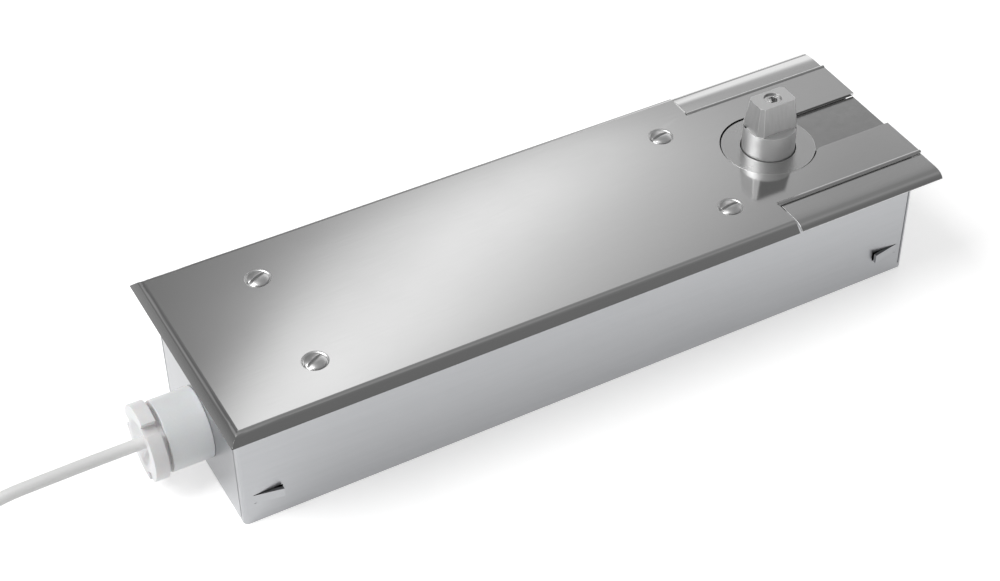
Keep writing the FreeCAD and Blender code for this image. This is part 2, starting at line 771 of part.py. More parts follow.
def make_spindle_insert():
    """Exchangeable insert: round collar, tapered drive block, square tail and screw hole."""
    body = part_body("spindle_insert")
    collar_top = spindle_top + s.insert_collar
    collar = circle(sketch_on(body, "XY_Plane", spindle_top), 0, 0, s.collar_rad)
    pad(body, collar, s.insert_collar)
    tail = sketch_on(body, "XY_Plane", spindle_top)
    side = s.tail_side / 2
    rectangle(tail, -side, side, -side, side)
    pad(body, tail, s.tail_len, True)
    sections = []
    rows = ((collar_top, s.block_foot_len, s.block_foot_wid, s.block_foot_bevel),
            (collar_top + s.block_high, s.block_top_len, s.block_top_wid, s.block_top_bevel))
    for height, length, width, bevel in rows:
        x, y = length / 2, width / 2
        corners = [(x, y - bevel), (x - bevel, y), (bevel - x, y), (-x, y - bevel)]
        corners += [(-x, bevel - y), (bevel - x, -y), (x - bevel, -y), (x, bevel - y)]
        sections.append(polygon(sketch_on(body, "XY_Plane", height), corners))
    doc.recompute()
    block = body.newObject("PartDesign::AdditiveLoft", "spindle_insert_block")
    block.Profile = sections[0]
    block.Sections = sections[1:]
    block.Ruled = True
    doc.recompute()
    top = collar_top + s.block_high
    bore = circle(sketch_on(body, "XY_Plane", top), 0, 0, s.insert_screw_dia / 2)
    pocket(body, bore, s.block_high + s.insert_collar + s.tail_len)
    head = circle(sketch_on(body, "XY_Plane", top), 0, 0, s.insert_head_dia / 2)
    pocket(body, head, s.insert_head_deep + s.insert_head_high)


def make_insert_screw():
    """Socket screw down the middle of the insert."""
    body = part_body("insert_screw")
    top = spindle_top + s.insert_collar + s.block_high - s.insert_head_deep
    neck = top - s.insert_head_high
    foot = spindle_top - s.tail_len - s.insert_thread_len + s.thread_spare
    head, shank = s.insert_head_dia / 2, s.insert_screw_dia / 2
    profile = [(0, foot), (shank, foot), (shank, neck), (head, neck), (head, top), (0, top)]
    spin(body, "Revolution", polygon(sketch_on(body, "XZ_Plane"), profile), "V_Axis")
    hexagon = sketch_on(body, "XY_Plane", top)
    polygon(hexagon, hexagon_points(s.hex_key))
    pocket(body, hexagon, s.hex_deep)


def hexagon_points(flats):
    """Corners of a hexagon of a given width across its flats."""
    reach = flats / math.sqrt(3)
    angles = [math.radians(60 * step) for step in range(6)]
    return [(reach * round(math.cos(a), 9), reach * round(math.sin(a), 9)) for a in angles]


def cam_outline():
    """Heart cam: the roller's centre path grows evenly with the angle, offset by its radius."""
    base, lift = s.cam_base.number, s.cam_lift.number
    offset = s.roller_rad.number + s.cam_gap.number
    upper = []
    for step in range(CAM_STEPS + 1):
        turn = math.radians(CAM_SWEEP) * step / CAM_STEPS
        reach = base + lift * turn
        angle = math.pi - turn
        slope = math.hypot(reach, lift)
        # The inward normal of the path leans by the lift
        along = (reach * math.cos(angle) - lift * math.sin(angle)) / slope
        aside = (reach * math.sin(angle) + lift * math.cos(angle)) / slope
        upper.append(Vector(reach * math.cos(angle) - offset * along,
                            reach * math.sin(angle) - offset * aside, 0))
    lower = [Vector(p.x, -p.y, 0) for p in upper]
    flanks = []
    for points in (upper, lower):
        curve = Part.BSplineCurve()
        curve.interpolate(points)
        flanks.append(curve.toShape())
    notch = Part.Arc(upper[0], Vector(offset - base, 0, 0), lower[0]).toShape()
    nose_reach = base + lift * math.pi - offset
    nose = Part.Arc(upper[-1], Vector(nose_reach, 0, 0), lower[-1]).toShape()
    return Part.Wire(Part.__sortEdges__([notch, flanks[0], nose, flanks[1]]))


CAM_STEPS = 24
CAM_SWEEP = 176.0


def make_cam():
    """Heart cam keyed to the spindle, and its key."""
    disc = Part.Face(cam_outline()).extrude(Vector(0, 0, s.cam_high.number))
    bore = Part.makeCylinder(s.shaft_rad.number, s.cam_high.number)
    keyway = Part.makeBox(s.key_deep.number, s.key_wid.number, s.cam_high.number,
                          Vector(s.shaft_rad.number, -s.key_wid.number / 2, 0))
    # The slot starts inside the bore, so that no sliver is left at its corners
    keyway = keyway.fuse(keyway.translated(Vector(-s.key_deep.number, 0, 0)))
    place(shape_part("cam", disc.cut(bore.fuse(keyway)).removeSplitter()), z=cam_top - s.cam_high)
    key = part_body("cam_key")
    outline = sketch_on(key, "XY_Plane", cam_top - s.cam_high)
    rectangle(outline, s.shaft_rad - s.key_deep, s.shaft_rad + s.key_deep, -s.key_wid / 2,
              s.key_wid / 2)
    pad(key, outline, s.cam_high)


def make_piston():
    """Forked piston that carries the roller, with a ring groove and the check valve's bore."""
    body = part_body("piston")
    disc = circle(sketch_on(body, "YZ_Plane", piston_tail), 0, s.axis_height,
                  s.bore_rad - s.piston_gap)
    pad(body, disc, s.piston_len)
    fork = sketch_on(body, "XZ_Plane", -s.bore_rad - 1)
    middle = s.axis_height
    rectangle(fork, fork_floor, piston_nose + 1, middle - s.fork_gap / 2, middle + s.fork_gap / 2)
    pocket(body, fork, 2 * s.bore_rad + 2, True)
    pin = circle(sketch_on(body, "XY_Plane", s.axis_height - s.bore_rad), -s.cam_base, 0,
                 s.roller_pin_rad)
    pocket(body, pin, 2 * s.bore_rad, True)
    groove = sketch_on(body, "YZ_Plane", piston_tail + s.piston_ring_back)
    circle(groove, 0, s.axis_height, s.bore_rad + 1)
    circle(groove, 0, s.axis_height, s.bore_rad - s.piston_ring_deep)
    pocket(body, groove, s.piston_ring_wid, True)
    valve = circle(sketch_on(body, "YZ_Plane", fork_floor + 1), 0, s.axis_height, s.check_bore_rad)
    pocket(body, valve, s.check_deep + 1)
    port = circle(sketch_on(body, "YZ_Plane", fork_floor), 0, s.axis_height, s.check_port_rad)
    pocket(body, port, fork_floor - piston_tail)


def make_piston_parts():
    """Ring, roller, pin and the check valve that ride with the piston."""
    inner = s.bore_rad - s.piston_ring_deep
    low = piston_tail + s.piston_ring_back
    ring = turned_part("piston_ring", tube_profile(inner, s.bore_rad - s.running_gap, 0,
                                                   s.piston_ring_wid))
    place(ring, low, 0, s.axis_height, ALONG_X)
    roller = turned_part("cam_roller", tube_profile(s.roller_pin_rad + s.running_gap, s.roller_rad,
                                                    -s.roller_high / 2, s.roller_high / 2))
    place(roller, -s.cam_base, 0, s.axis_height)
    reach = s.bore_rad - s.pin_inset
    edge = s.shaft_bevel
    profile = [(0, -reach), (s.roller_pin_rad - edge, -reach), (s.roller_pin_rad, edge - reach)]
    profile += [(s.roller_pin_rad, reach - edge), (s.roller_pin_rad - edge, reach), (0, reach)]
    place(turned_part("roller_pin", profile), -s.cam_base, 0, s.axis_height)
    ball = doc.addObject("Part::Sphere", "check_ball")
    ball.Label = "check_ball"
    bind(ball, "Radius", s.check_ball_rad)
    exported.append(ball)
    place(ball, check_ball_x, 0, s.axis_height)
    retainer = turned_part("check_retainer", tube_profile(s.check_port_rad, s.check_bore_rad, 0,
                                                          s.retainer_high))
    place(retainer, fork_floor - s.retainer_high, 0, s.axis_height, ALONG_X)
    mean_rad = s.check_bore_rad - s.check_wire / 2 - s.check_spring_gap
    coil_spring("check_spring", mean_rad, s.check_wire, s.check_turns,
                check_ball_x + s.check_nest, fork_floor - s.retainer_high)


def wire_section(mean_rad, wire):
    """A spring wire's section, as a hexagon of the wire's width that stands on the seat."""
    corners = hexagon_points(wire)
    return [(mean_rad + x, wire / 2 + y) for x, y in corners]


def coil_spring(label, mean_rad, wire, turns, start, end, left_hand=False):
    """A helical spring along +X between two seats."""
    body = part_body(label)
    length = end - start
    section = polygon(sketch_on(body, "XZ_Plane"), wire_section(mean_rad, wire))
    doc.recompute()
    helix = body.newObject("PartDesign::AdditiveHelix", label + "_helix")
    helix.Profile = section
    helix.ReferenceAxis = (section, ["V_Axis"])
    helix.Mode = "height-turns-angle"
    helix.Height = plain(length - wire)
    bind(helix, "Height", length - wire)
    helix.Turns = plain(turns)
    bind(helix, "Turns", turns)
    helix.LeftHanded = left_hand
    place(body, start, 0, s.axis_height, ALONG_X)


def make_spring_side():
    """Two nested springs, their travelling seat, the preload screw and the end plug."""
    flange = seat_left + s.seat_flange
    coil_spring("closing_spring_outer", s.outer_mean_rad, s.outer_wire, s.outer_turns, flange,
                piston_tail)
    coil_spring("closing_spring_inner", s.inner_mean_rad, s.inner_wire, s.inner_turns, flange,
                piston_tail, True)
    thread = s.preload_rad + s.running_gap
    profile = [(thread, 0), (s.bore_rad - s.seat_rim_gap, 0), (s.bore_rad - s.seat_rim_gap, s.seat_flange)]
    profile += [(s.seat_boss_rad, s.seat_flange), (s.seat_boss_rad, s.seat_boss_len), (thread, s.seat_boss_len)]
    place(turned_part("spring_seat", profile), seat_left, 0, s.axis_height, ALONG_X)
    screw = part_body("preload_screw")
    shank = s.preload_rad - s.preload_step
    inside = s.plug_len + s.running_gap
    end = s.plug_len + s.seat_gap + s.seat_travel + s.seat_boss_len
    profile = [(0, -s.preload_head), (shank, -s.preload_head)]
    profile += [(shank, inside), (s.preload_collar_rad, inside)]
    profile += [(s.preload_collar_rad, inside + s.preload_collar), (s.preload_rad, inside + s.preload_collar)]
    profile += [(s.preload_rad, end), (0, end)]
    spin(screw, "Revolution", polygon(sketch_on(screw, "XZ_Plane"), profile), "V_Axis")
    hexagon = sketch_on(screw, "XY_Plane", -s.preload_head)
    polygon(hexagon, hexagon_points(s.hex_key))
    pocket(screw, hexagon, s.hex_deep, True)
    place(screw, bay_right, 0, s.axis_height, ALONG_X)
    bore = shank + s.running_gap
    ring_foot = s.plug_len / 2
    groove = s.plug_rad - s.plug_ring
    profile = [(bore, 0), (s.plug_rad, 0), (s.plug_rad, ring_foot), (groove, ring_foot)]
    profile += [(groove, ring_foot + s.plug_ring), (s.plug_rad, ring_foot + s.plug_ring)]
    profile += [(s.plug_rad, s.plug_len), (bore, s.plug_len)]
    place(turned_part("end_plug", profile), bay_right, 0, s.axis_height, ALONG_X)
    ring = turned_part("end_plug_ring", tube_profile(groove, s.plug_rad, ring_foot,
                                                     ring_foot + s.plug_ring))
    place(ring, bay_right, 0, s.axis_height, ALONG_X)


def make_valve(label, x, y):
    """Regulating screw with a slotted head and a needle that throttles the oil channel."""
    body = part_body(label)
    radius = s.valve_rad - s.running_gap
    needle = s.port_rad - s.needle_gap
    tip = s.axis_height + s.channel_rad - (body_top - s.valve_sunk)
    profile = [(0, tip), (needle / 2, tip), (needle, tip + s.needle_cone), (needle, -s.valve_len)]
    profile += [(radius, -s.valve_len), (radius, 0), (0, 0)]
    spin(body, "Revolution", polygon(sketch_on(body, "XZ_Plane"), profile), "V_Axis")
    slot = sketch_on(body, "XY_Plane", 0.0)
    rectangle(slot, -s.valve_rad, s.valve_rad, -s.valve_slot / 2, s.valve_slot / 2)
    pocket(body, slot, s.valve_slot_deep)
    place(body, x, y, body_top - s.valve_sunk)


def make_channel_plugs():
    """Steel plugs pressed into the two drilled oil channels where they open into the bay."""
    body = part_body("channel_plugs")
    ends = sketch_on(body, "YZ_Plane", bay_right)
    for y in (-valve_half, valve_half):
        circle(ends, y, s.axis_height, s.channel_rad)
    pad(body, ends, s.channel_plug)


def make_solenoid():
    """Hold-open valve in the bay: coil, guide tube, plunger and its return spring."""
    coil_foot = s.bay_floor + s.coil_lift
    coil = turned_part("solenoid_coil", tube_profile(s.tube_rad, s.coil_rad, 0, s.coil_high))
    place(coil, solenoid_x, solenoid_y, coil_foot)
    inner = s.tube_rad - s.tube_wall
    top = s.coil_lift + s.coil_high + s.tube_wall
    stem = s.plunger_stem + s.running_gap
    profile = [(stem, 0), (s.tube_foot_rad, 0), (s.tube_foot_rad, s.coil_lift), (s.tube_rad, s.coil_lift)]
    profile += [(s.tube_rad, top), (0, top), (0, top - s.tube_wall), (inner, top - s.tube_wall)]
    profile += [(inner, s.coil_lift), (stem, s.coil_lift)]
    place(turned_part("solenoid_tube", profile), solenoid_x, solenoid_y, s.bay_floor)
    slide = inner - s.running_gap
    foot = s.coil_lift + s.plunger_spring_len
    head = top - s.tube_wall - s.plunger_travel
    tip = s.plunger_travel - s.port_deep
    profile = [(0, tip), (s.plunger_stem, tip), (s.plunger_stem, foot), (slide, foot), (slide, head), (0, head)]
    place(turned_part("solenoid_plunger", profile), solenoid_x, solenoid_y, s.bay_floor)
    spring = part_body("plunger_spring")
    wire = s.check_wire
    section = polygon(sketch_on(spring, "XZ_Plane"), wire_section(inner - wire, wire))
    doc.recompute()
    helix = spring.newObject("PartDesign::AdditiveHelix", "plunger_spring_helix")
    helix.Profile = section
    helix.ReferenceAxis = (section, ["V_Axis"])
    helix.Mode = "height-turns-angle"
    bind(helix, "Height", s.plunger_spring_len - wire)
    bind(helix, "Turns", s.plunger_turns)
    place(spring, solenoid_x, solenoid_y, coil_foot)


def make_terminal_block():
    """Two-part terminal block in the bay, with a screw over each way."""
    body = part_body("terminal_block")
    base = sketch_on(body, "XY_Plane", s.bay_floor)
    rectangle(base, terminal_x - s.terminal_wid / 2, terminal_x + s.terminal_wid / 2,
              terminal_y - s.terminal_len / 2, terminal_y + s.terminal_len / 2)
    pad(body, base, s.terminal_high)
    wells = sketch_on(body, "XY_Plane", s.bay_floor + s.terminal_high)
    for y in terminal_ways:
        circle(wells, terminal_x, y, s.well_rad)
    pocket(body, wells, s.well_deep)
    ways = sketch_on(body, "YZ_Plane", terminal_x - s.terminal_wid / 2)
    for y in terminal_ways:
        circle(ways, y, s.bay_floor + s.way_height, s.core_dia / 2)
    pocket(body, ways, s.terminal_wid / 2, True)
    screws = part_body("terminal_screws")
    heads = sketch_on(screws, "XY_Plane", s.bay_floor + s.terminal_high - s.well_deep)
    for y in terminal_ways:
        circle(heads, terminal_x, y, s.well_rad)
    pad(screws, heads, s.well_deep / 2)
    slots = sketch_on(screws, "XY_Plane", s.bay_floor + s.terminal_high - s.well_deep / 2)
    half = s.terminal_slot_wid / 2
    for y in terminal_ways:
        rectangle(slots, terminal_x - s.well_rad, terminal_x + s.well_rad, y - half, y + half)
    pocket(screws, slots, s.terminal_slot_deep)


def make_gland():
    """Cable gland through the end wall: body, sealing ring, notched cap and locknut."""
    body = part_body("gland_body")
    wall = s.gland_wall
    inner = s.gland_neck_rad - wall
    bore = s.cable_dia / 2 + s.cable_gap
    step = s.box_sheet + s.gland_thread_len
    profile = [(bore, -step), (s.gland_thread_rad, -step), (s.gland_thread_rad, 0), (s.gland_rad, 0)]
    profile += [(s.gland_rad, s.gland_len), (inner, s.gland_len), (inner, s.gland_floor)]
    profile += [(bore, s.gland_floor)]
    spin(body, "Revolution", polygon(sketch_on(body, "XZ_Plane"), profile), "V_Axis")
    place(body, box_left, 0, s.gland_height, AGAINST_X)
    packing = s.gland_len - s.gland_floor - s.gland_skirt
    ring = turned_part("gland_seal", tube_profile(bore - s.cable_gap, inner, s.gland_floor,
                                                  s.gland_floor + packing))
    place(ring, box_left, 0, s.gland_height, AGAINST_X)
    cap = part_body("gland_cap")
    low = s.gland_len + s.gland_neck_len
    top = low + s.gland_cap_len
    profile = [(bore, s.gland_len - s.gland_skirt), (inner, s.gland_len - s.gland_skirt)]
    profile += [(inner, s.gland_len), (s.gland_neck_rad, s.gland_len), (s.gland_neck_rad, low)]
    profile += [(s.gland_cap_rad, low), (s.gland_cap_rad, top), (s.gland_cup_rad, top)]
    profile += [(bore, top - s.gland_cup_deep)]
    spin(cap, "Revolution", polygon(sketch_on(cap, "XZ_Plane"), profile), "V_Axis")
    notch = sketch_on(cap, "XY_Plane", top)
    rectangle(notch, -s.gland_cap_rad - 1, s.notch_deep - s.gland_cap_rad, -s.notch_wid / 2,
              s.notch_wid / 2)
    cut = pocket(cap, notch, s.gland_cap_len)
    pattern = cap.newObject("PartDesign::PolarPattern", "gland_cap_notches")
    pattern.Originals = [cut]
    pattern.Axis = (datum(cap, "Z_Axis"), [""])
    pattern.Angle = 360
    pattern.Occurrences = 3
    cap.Tip = pattern
    doc.recompute()
    # One of the three notches points straight down
    place(cap, box_left, 0, s.gland_height, AGAINST_X)
    nut = part_body("gland_locknut")
    hexagon = sketch_on(nut, "XY_Plane", -s.box_sheet)
    polygon(hexagon, hexagon_points(s.locknut_flats))
    pad(nut, hexagon, s.locknut_high, True)
    hole = circle(sketch_on(nut, "XY_Plane", 0.0), 0, 0, s.gland_thread_rad)
    pocket(nut, hole, s.locknut_high + s.box_sheet)
    place(nut, box_left, 0, s.gland_height, AGAINST_X)


def make_lug_screws():
    """Four screws that hold the closer body down in its box."""
    body = part_body("body_screws")
    seat = body_foot + s.lug_high
    shanks = sketch_on(body, "XY_Plane", seat)
    for x in lug_screw_places:
        for y in (-s.lug_screw_half, s.lug_screw_half):
            circle(shanks, x, y, s.lug_screw_dia / 2)
    pad(body, shanks, s.lug_high + s.box_sheet - s.lug_tip_gap, True)
    heads = sketch_on(body, "XY_Plane", seat)
    for x in lug_screw_places:
        for y in (-s.lug_screw_half, s.lug_screw_half):
            circle(heads, x, y, s.lug_head_rad)
    pad(body, heads, s.lug_head_high)
    keys = sketch_on(body, "XY_Plane", seat + s.lug_head_high)
    for x in lug_screw_places:
        for y in (-s.lug_screw_half, s.lug_screw_half):
            polygon(keys, [(x + px, y + py) for px, py in hexagon_points(s.hex_key)])
    pocket(body, keys, s.hex_deep)


def rounded_path(points):
    """Straight runs joined by tangent arcs, each as large as its two runs allow."""
    edges = []
    radii = []
    start = points[0]
    for before, corner, after in zip(points, points[1:], points[2:]):
        back = (before - corner).normalize()
        ahead = (after - corner).normalize()
        turn = math.pi - back.getAngle(ahead)
        run = min((before - corner).Length, (after - corner).Length)
        trim = ARC_SHARE * run
        radii.append(trim / math.tan(turn / 2))
        entry, leave = corner + back * trim, corner + ahead * trim
        middle = (back + ahead).normalize()
        sagitta = radii[-1] / math.cos(turn / 2) - radii[-1]
        edges.append(Part.LineSegment(start, entry).toShape())
        edges.append(Part.Arc(entry, corner + middle * sagitta, leave).toShape())
        start = leave
    edges.append(Part.LineSegment(start, points[-1]).toShape())
    return Part.Wire(edges), radii


ARC_SHARE = 0.45


def tube_along(points, diameter):
    """A round tube along a path, with its arc radii and the length of its path."""
    route, radii = rounded_path([Vector(*p) for p in points])
    normal = (Vector(*points[1]) - Vector(*points[0])).normalize()
    ring = Part.Wire(Part.makeCircle(diameter / 2, Vector(*points[0]), normal))
    tube = route.makePipeShell([ring], True, True)
    return tube, radii, route.Length


# The cable's free stretch: straight out of the gland, down to the floor, then to the coil
CABLE_ROUTE = [
    (-304.0, 0.0, 24.5),
    (-324.0, 0.0, 24.5),
    (-346.0, -0.3, 24.4),
    (-366.0, 0.2, 23.4),
    (-384.0, 0.5, 17.0),
    (-398.0, 0.2, 8.8),
    (-411.0, 0.1, 3.3),
    (-424.0, 0.0, 2.75),
]


def make_cable():
    """The free cable, its coil, and the stretch inside the gland with its three cores."""
    tube, radii, length = tube_along(CABLE_ROUTE, s.cable_dia.number)
    print("cable arc radii", [round(r, 1) for r in radii], "length", round(length, 1))
    print("cable volume over section times length",
          round(tube.Volume / (math.pi * s.cable_dia.number ** 2 / 4 * length), 5))
    shape_part("cable", tube)
    end = CABLE_ROUTE[-1]
    middle = s.coil_turn_rad + s.cable_dia / 2
    ring = turned_part("cable_coil", tube_profile(s.coil_turn_rad - s.cable_dia,
                                                  s.coil_turn_rad + s.cable_dia, 0,
                                                  s.cable_dia * COIL_LAYERS))
    place(ring, end[0] - s.coil_lead, middle, 0.0)
    jacket = part_body("inner_lead")
    start = box_left - s.gland_len - s.gland_neck_len - s.gland_cap_len + s.lead_join
    section = circle(sketch_on(jacket, "YZ_Plane", start), 0, s.gland_height, s.cable_dia / 2)
    pad(jacket, section, body_left + s.jacket_inset - start)
    cores = []
    strip = plain(body_left + s.jacket_inset)
    entry = plain(terminal_x - s.terminal_wid / 2)
    height = s.gland_height.number
    fall = plain(s.bay_floor + s.way_height) - height
    for index, way in enumerate(terminal_ways):
        apart = (index - 1) * s.core_dia.number * CORE_PITCH
        aside = way.number - apart
        stations = ((strip, 0.0), (strip + CORE_LEAD, 0.0), (entry - CORE_LEAD, 1.0),
                    (entry + CORE_LEAD / 2, 1.0))
        points = [(x, apart + share * aside, height + share * fall) for x, share in stations]
        cores.append(tube_along(points, s.core_dia.number)[0])
    shape_part("lead_cores", Part.makeCompound(cores))


# Places inside the closer body that its pieces share
COIL_LAYERS = 3
CORE_PITCH = 1.1
CORE_LEAD = 4.0
piston_nose = s.fork_nose - s.cam_base
piston_tail = piston_nose - s.piston_len
fork_floor = -s.cam_base - s.roller_rad - s.fork_relief
bore_end = piston_nose + s.nose_gap
cam_top = s.axis_height + s.cam_high / 2
check_ball_x = fork_floor - s.check_deep + s.check_ball_rad + s.check_gap
upper_bearing_rad = s.shaft_rad + s.bearing_wall
upper_bearing_top = spigot_foot + s.bearing_high
lower_bearing_rad = s.journal_rad + s.bearing_wall
seal_rad = s.shaft_rad + s.seal_wall
seal_top = upper_bearing_top + s.seal_high
seat_left = bay_right + s.plug_len + s.seat_gap
valve_half = body_half - s.valve_inset
lug_screw_places = (body_left - s.lug_len / 2, body_right + s.lug_len / 2)
valve_places = {
    "closing_valve": (-s.valve_first, valve_half),
    "latching_valve": (-s.valve_first - s.valve_step, valve_half),
    "backcheck_valve": (-s.valve_first, -valve_half),
}
solenoid_x = (bay_left + bay_right) / 2
solenoid_y = bay_half - s.coil_rad - s.solenoid_gap
terminal_x = bay_right - s.terminal_back
terminal_y = s.terminal_gap + s.terminal_len / 2 - bay_half
terminal_ways = tuple(terminal_y + way * s.terminal_pitch for way in (-1, 0, 1))

make_cement_box()
make_closer_body()
make_lug_screws()
make_bearing_cover()
make_bearings()
make_spindle()
make_cam()
make_spindle_insert()
make_insert_screw()
make_piston()
make_piston_parts()
make_spring_side()
for valve, (valve_x, valve_y) in valve_places.items():
    make_valve(valve, valve_x, valve_y)
make_channel_plugs()
make_solenoid()
make_terminal_block()
make_gland()
make_cover_plate()
make_edge_strip("edge_strip_near", -1)
make_edge_strip("edge_strip_far", 1)
make_slot_tongue()
make_cover_screws()
make_cable()
doc.recompute()

for item in doc.Objects:
    if "Invalid" in item.State or "Error" in item.State:
        raise ValueError(item.Name + " failed: " + ", ".join(item.State))
for item in exported:
    if item.Shape.isNull() or not item.Shape.isValid() or not item.Shape.Solids:
        raise ValueError(item.Label + " has no valid solid")

os.makedirs("parts", exist_ok=True)
for item in exported:
    item.Shape.exportStep("parts/" + item.Label + ".step")
print(len(exported), "sub-parts written")
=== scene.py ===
import math

import bmesh
import bpy
import numpy as np
from mathutils import Matrix, Vector


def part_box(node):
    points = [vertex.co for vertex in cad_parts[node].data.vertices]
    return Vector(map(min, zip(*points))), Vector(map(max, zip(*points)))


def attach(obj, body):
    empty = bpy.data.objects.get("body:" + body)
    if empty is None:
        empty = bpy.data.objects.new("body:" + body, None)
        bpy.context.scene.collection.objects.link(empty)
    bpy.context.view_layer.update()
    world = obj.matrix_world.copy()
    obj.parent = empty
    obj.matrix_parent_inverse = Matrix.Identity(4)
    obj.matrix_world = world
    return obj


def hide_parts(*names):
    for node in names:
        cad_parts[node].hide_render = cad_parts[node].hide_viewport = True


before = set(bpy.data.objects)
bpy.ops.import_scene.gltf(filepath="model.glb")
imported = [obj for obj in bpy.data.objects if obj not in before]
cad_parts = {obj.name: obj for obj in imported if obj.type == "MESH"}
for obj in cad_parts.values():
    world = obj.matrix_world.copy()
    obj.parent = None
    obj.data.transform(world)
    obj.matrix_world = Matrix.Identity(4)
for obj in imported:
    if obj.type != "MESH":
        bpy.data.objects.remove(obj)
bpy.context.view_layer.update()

# Camera
# The lens looks down on the long near side of the cover, from its cable end, a little off level.
# Its place is the plate's middle plus steps back, aside and up in metres, and its lens is a
# short telephoto.
CAMERA_AZIMUTH = math.radians(-28.23)
CAMERA_ELEVATION = math.radians(41.81)
CAMERA_ROLL = math.radians(-0.65)
CAMERA_BACK = 0.88465
CAMERA_ASIDE = -0.02046
CAMERA_LIFT = -0.02557
CAMERA_LENS = 73.90
CAMERA_SENSOR = 36.0
CAMERA_NEAR = 0.05
PLATE_MIDDLE = Vector((-0.114, 0.0, 0.0593))

back = Vector((math.sin(CAMERA_AZIMUTH) * math.cos(CAMERA_ELEVATION),
               -math.cos(CAMERA_AZIMUTH) * math.cos(CAMERA_ELEVATION), math.sin(CAMERA_ELEVATION)))
level = (-back).cross(Vector((0.0, 0.0, 1.0))).normalized()
rise = level.cross(-back)
aside = level * math.cos(CAMERA_ROLL) + rise * math.sin(CAMERA_ROLL)
upward = rise * math.cos(CAMERA_ROLL) - level * math.sin(CAMERA_ROLL)
lens = bpy.data.cameras.new("camera")
lens.lens = CAMERA_LENS
lens.sensor_width = CAMERA_SENSOR
lens.clip_start = CAMERA_NEAR
camera = bpy.data.objects.new("camera", lens)
bpy.context.scene.collection.objects.link(camera)
camera.matrix_world = Matrix((aside, upward, back)).transposed().to_4x4()
camera.location = PLATE_MIDDLE + back * CAMERA_BACK + aside * CAMERA_ASIDE + upward * CAMERA_LIFT
bpy.context.scene.camera = camera
bpy.context.scene.view_settings.view_transform = "Standard"


# Cable
# A round three-core lead with a pale grey jacket. It leaves the gland level, sinks to the floor
# and lies there in a neat coil, two turns wide and three high.
CABLE_DIAMETER = 0.0055
CABLE_ROUTE = (
    (-0.3040, 0.0, 0.0245),
    (-0.3240, 0.0, 0.0245),
    (-0.3460, -0.0003, 0.0244),
    (-0.3660, 0.0002, 0.0234),
    (-0.3840, 0.0005, 0.0170),
    (-0.3980, 0.0002, 0.0088),
    (-0.4110, 0.0001, 0.0033),
    (-0.4240, 0.0, 0.00275),
)
COIL_MIDDLE = (-0.427, 0.03125)
COIL_OUTER = 0.03125
COIL_TURNS = 4.72
COIL_POINTS_A_TURN = 16
CLIMB = (265.0, 335.0)
INWARD = (30.0, 150.0)
SMUDGES_A_METRE = 14.0
MASK_LOW, MASK_HIGH = 0.25, 0.75


def new_material(name):
    """A node material, with its tree and its Principled shader."""
    made = bpy.data.materials.new(name)
    made.use_nodes = True
    return made, made.node_tree, made.node_tree.nodes["Principled BSDF"]


def new_group(name, inputs, outputs):
    """A shader node group with named sockets, its input node and its output node."""
    tree = bpy.data.node_groups.new(name, "ShaderNodeTree")
    for label, kind, value in inputs:
        tree.interface.new_socket(label, in_out="INPUT", socket_type=kind).default_value = value
    for label in outputs:
        tree.interface.new_socket(label, in_out="OUTPUT", socket_type="NodeSocketFloat")
    return tree, tree.nodes.new("NodeGroupInput"), tree.nodes.new("NodeGroupOutput")


def feed(tree, value, socket):
    """Link an output to a socket, or set the socket to a constant."""
    if isinstance(value, bpy.types.NodeSocket):
        tree.links.new(value, socket)
    else:
        socket.default_value = value


def vector_step(tree, operation, *values):
    """One vector operation on sockets or constants; gives its node."""
    node = tree.nodes.new("ShaderNodeVectorMath")
    node.operation = operation
    for value, socket in zip(values, node.inputs):
        feed(tree, value, socket)
    return node


def scaled(tree, vector, scale):
    """A vector times a number; gives its output."""
    node = vector_step(tree, "SCALE", vector)
    feed(tree, scale, node.inputs["Scale"])
    return node.outputs["Vector"]


def noise(tree, vector, detail, roughness):
    """A noise texture on a vector, one cell a unit; gives its grey output."""
    node = tree.nodes.new("ShaderNodeTexNoise")
    node.inputs["Scale"].default_value = 1.0
    node.inputs["Detail"].default_value = detail
    node.inputs["Roughness"].default_value = roughness
    tree.links.new(vector, node.inputs["Vector"])
    return node.outputs["Fac"]


def grain_group():
    """Group: fine surface grain, drawn out by Stretch (cells per metre along X, Y and Z), and slow
    smudges, Smudge scale of them a metre."""
    tree, given, result = new_group("surface grain", (
        ("Stretch", "NodeSocketVector", (800.0,) * 3),
        ("Smudge scale", "NodeSocketFloat", SMUDGES_A_METRE)), ("Grain", "Smudge"))
    place = tree.nodes.new("ShaderNodeTexCoord").outputs["Object"]
    drawn = vector_step(tree, "MULTIPLY", place, given.outputs["Stretch"]).outputs["Vector"]
    slow = scaled(tree, place, given.outputs["Smudge scale"])
    tree.links.new(noise(tree, drawn, detail=3.0, roughness=0.6), result.inputs["Grain"])
    tree.links.new(noise(tree, slow, detail=4.0, roughness=0.55), result.inputs["Smudge"])
    return tree


GRAIN = grain_group()


def use_group(tree, group, **values):
    """Put a node group in a material, with inputs set by name, an underscore for each space."""
    node = tree.nodes.new("ShaderNodeGroup")
    node.node_tree = group
    for label, value in values.items():
        node.inputs[label.replace("_", " ")].default_value = value
    return node


def between(tree, mask, low, high, socket):
    """Feed a socket with a value that runs from low to high as the mask runs over its middle half."""
    node = tree.nodes.new("ShaderNodeMapRange")
    node.inputs["From Min"].default_value = MASK_LOW
    node.inputs["From Max"].default_value = MASK_HIGH
    node.inputs["To Min"].default_value = low
    node.inputs["To Max"].default_value = high
    tree.links.new(mask, node.inputs["Value"])
    tree.links.new(node.outputs["Result"], socket)


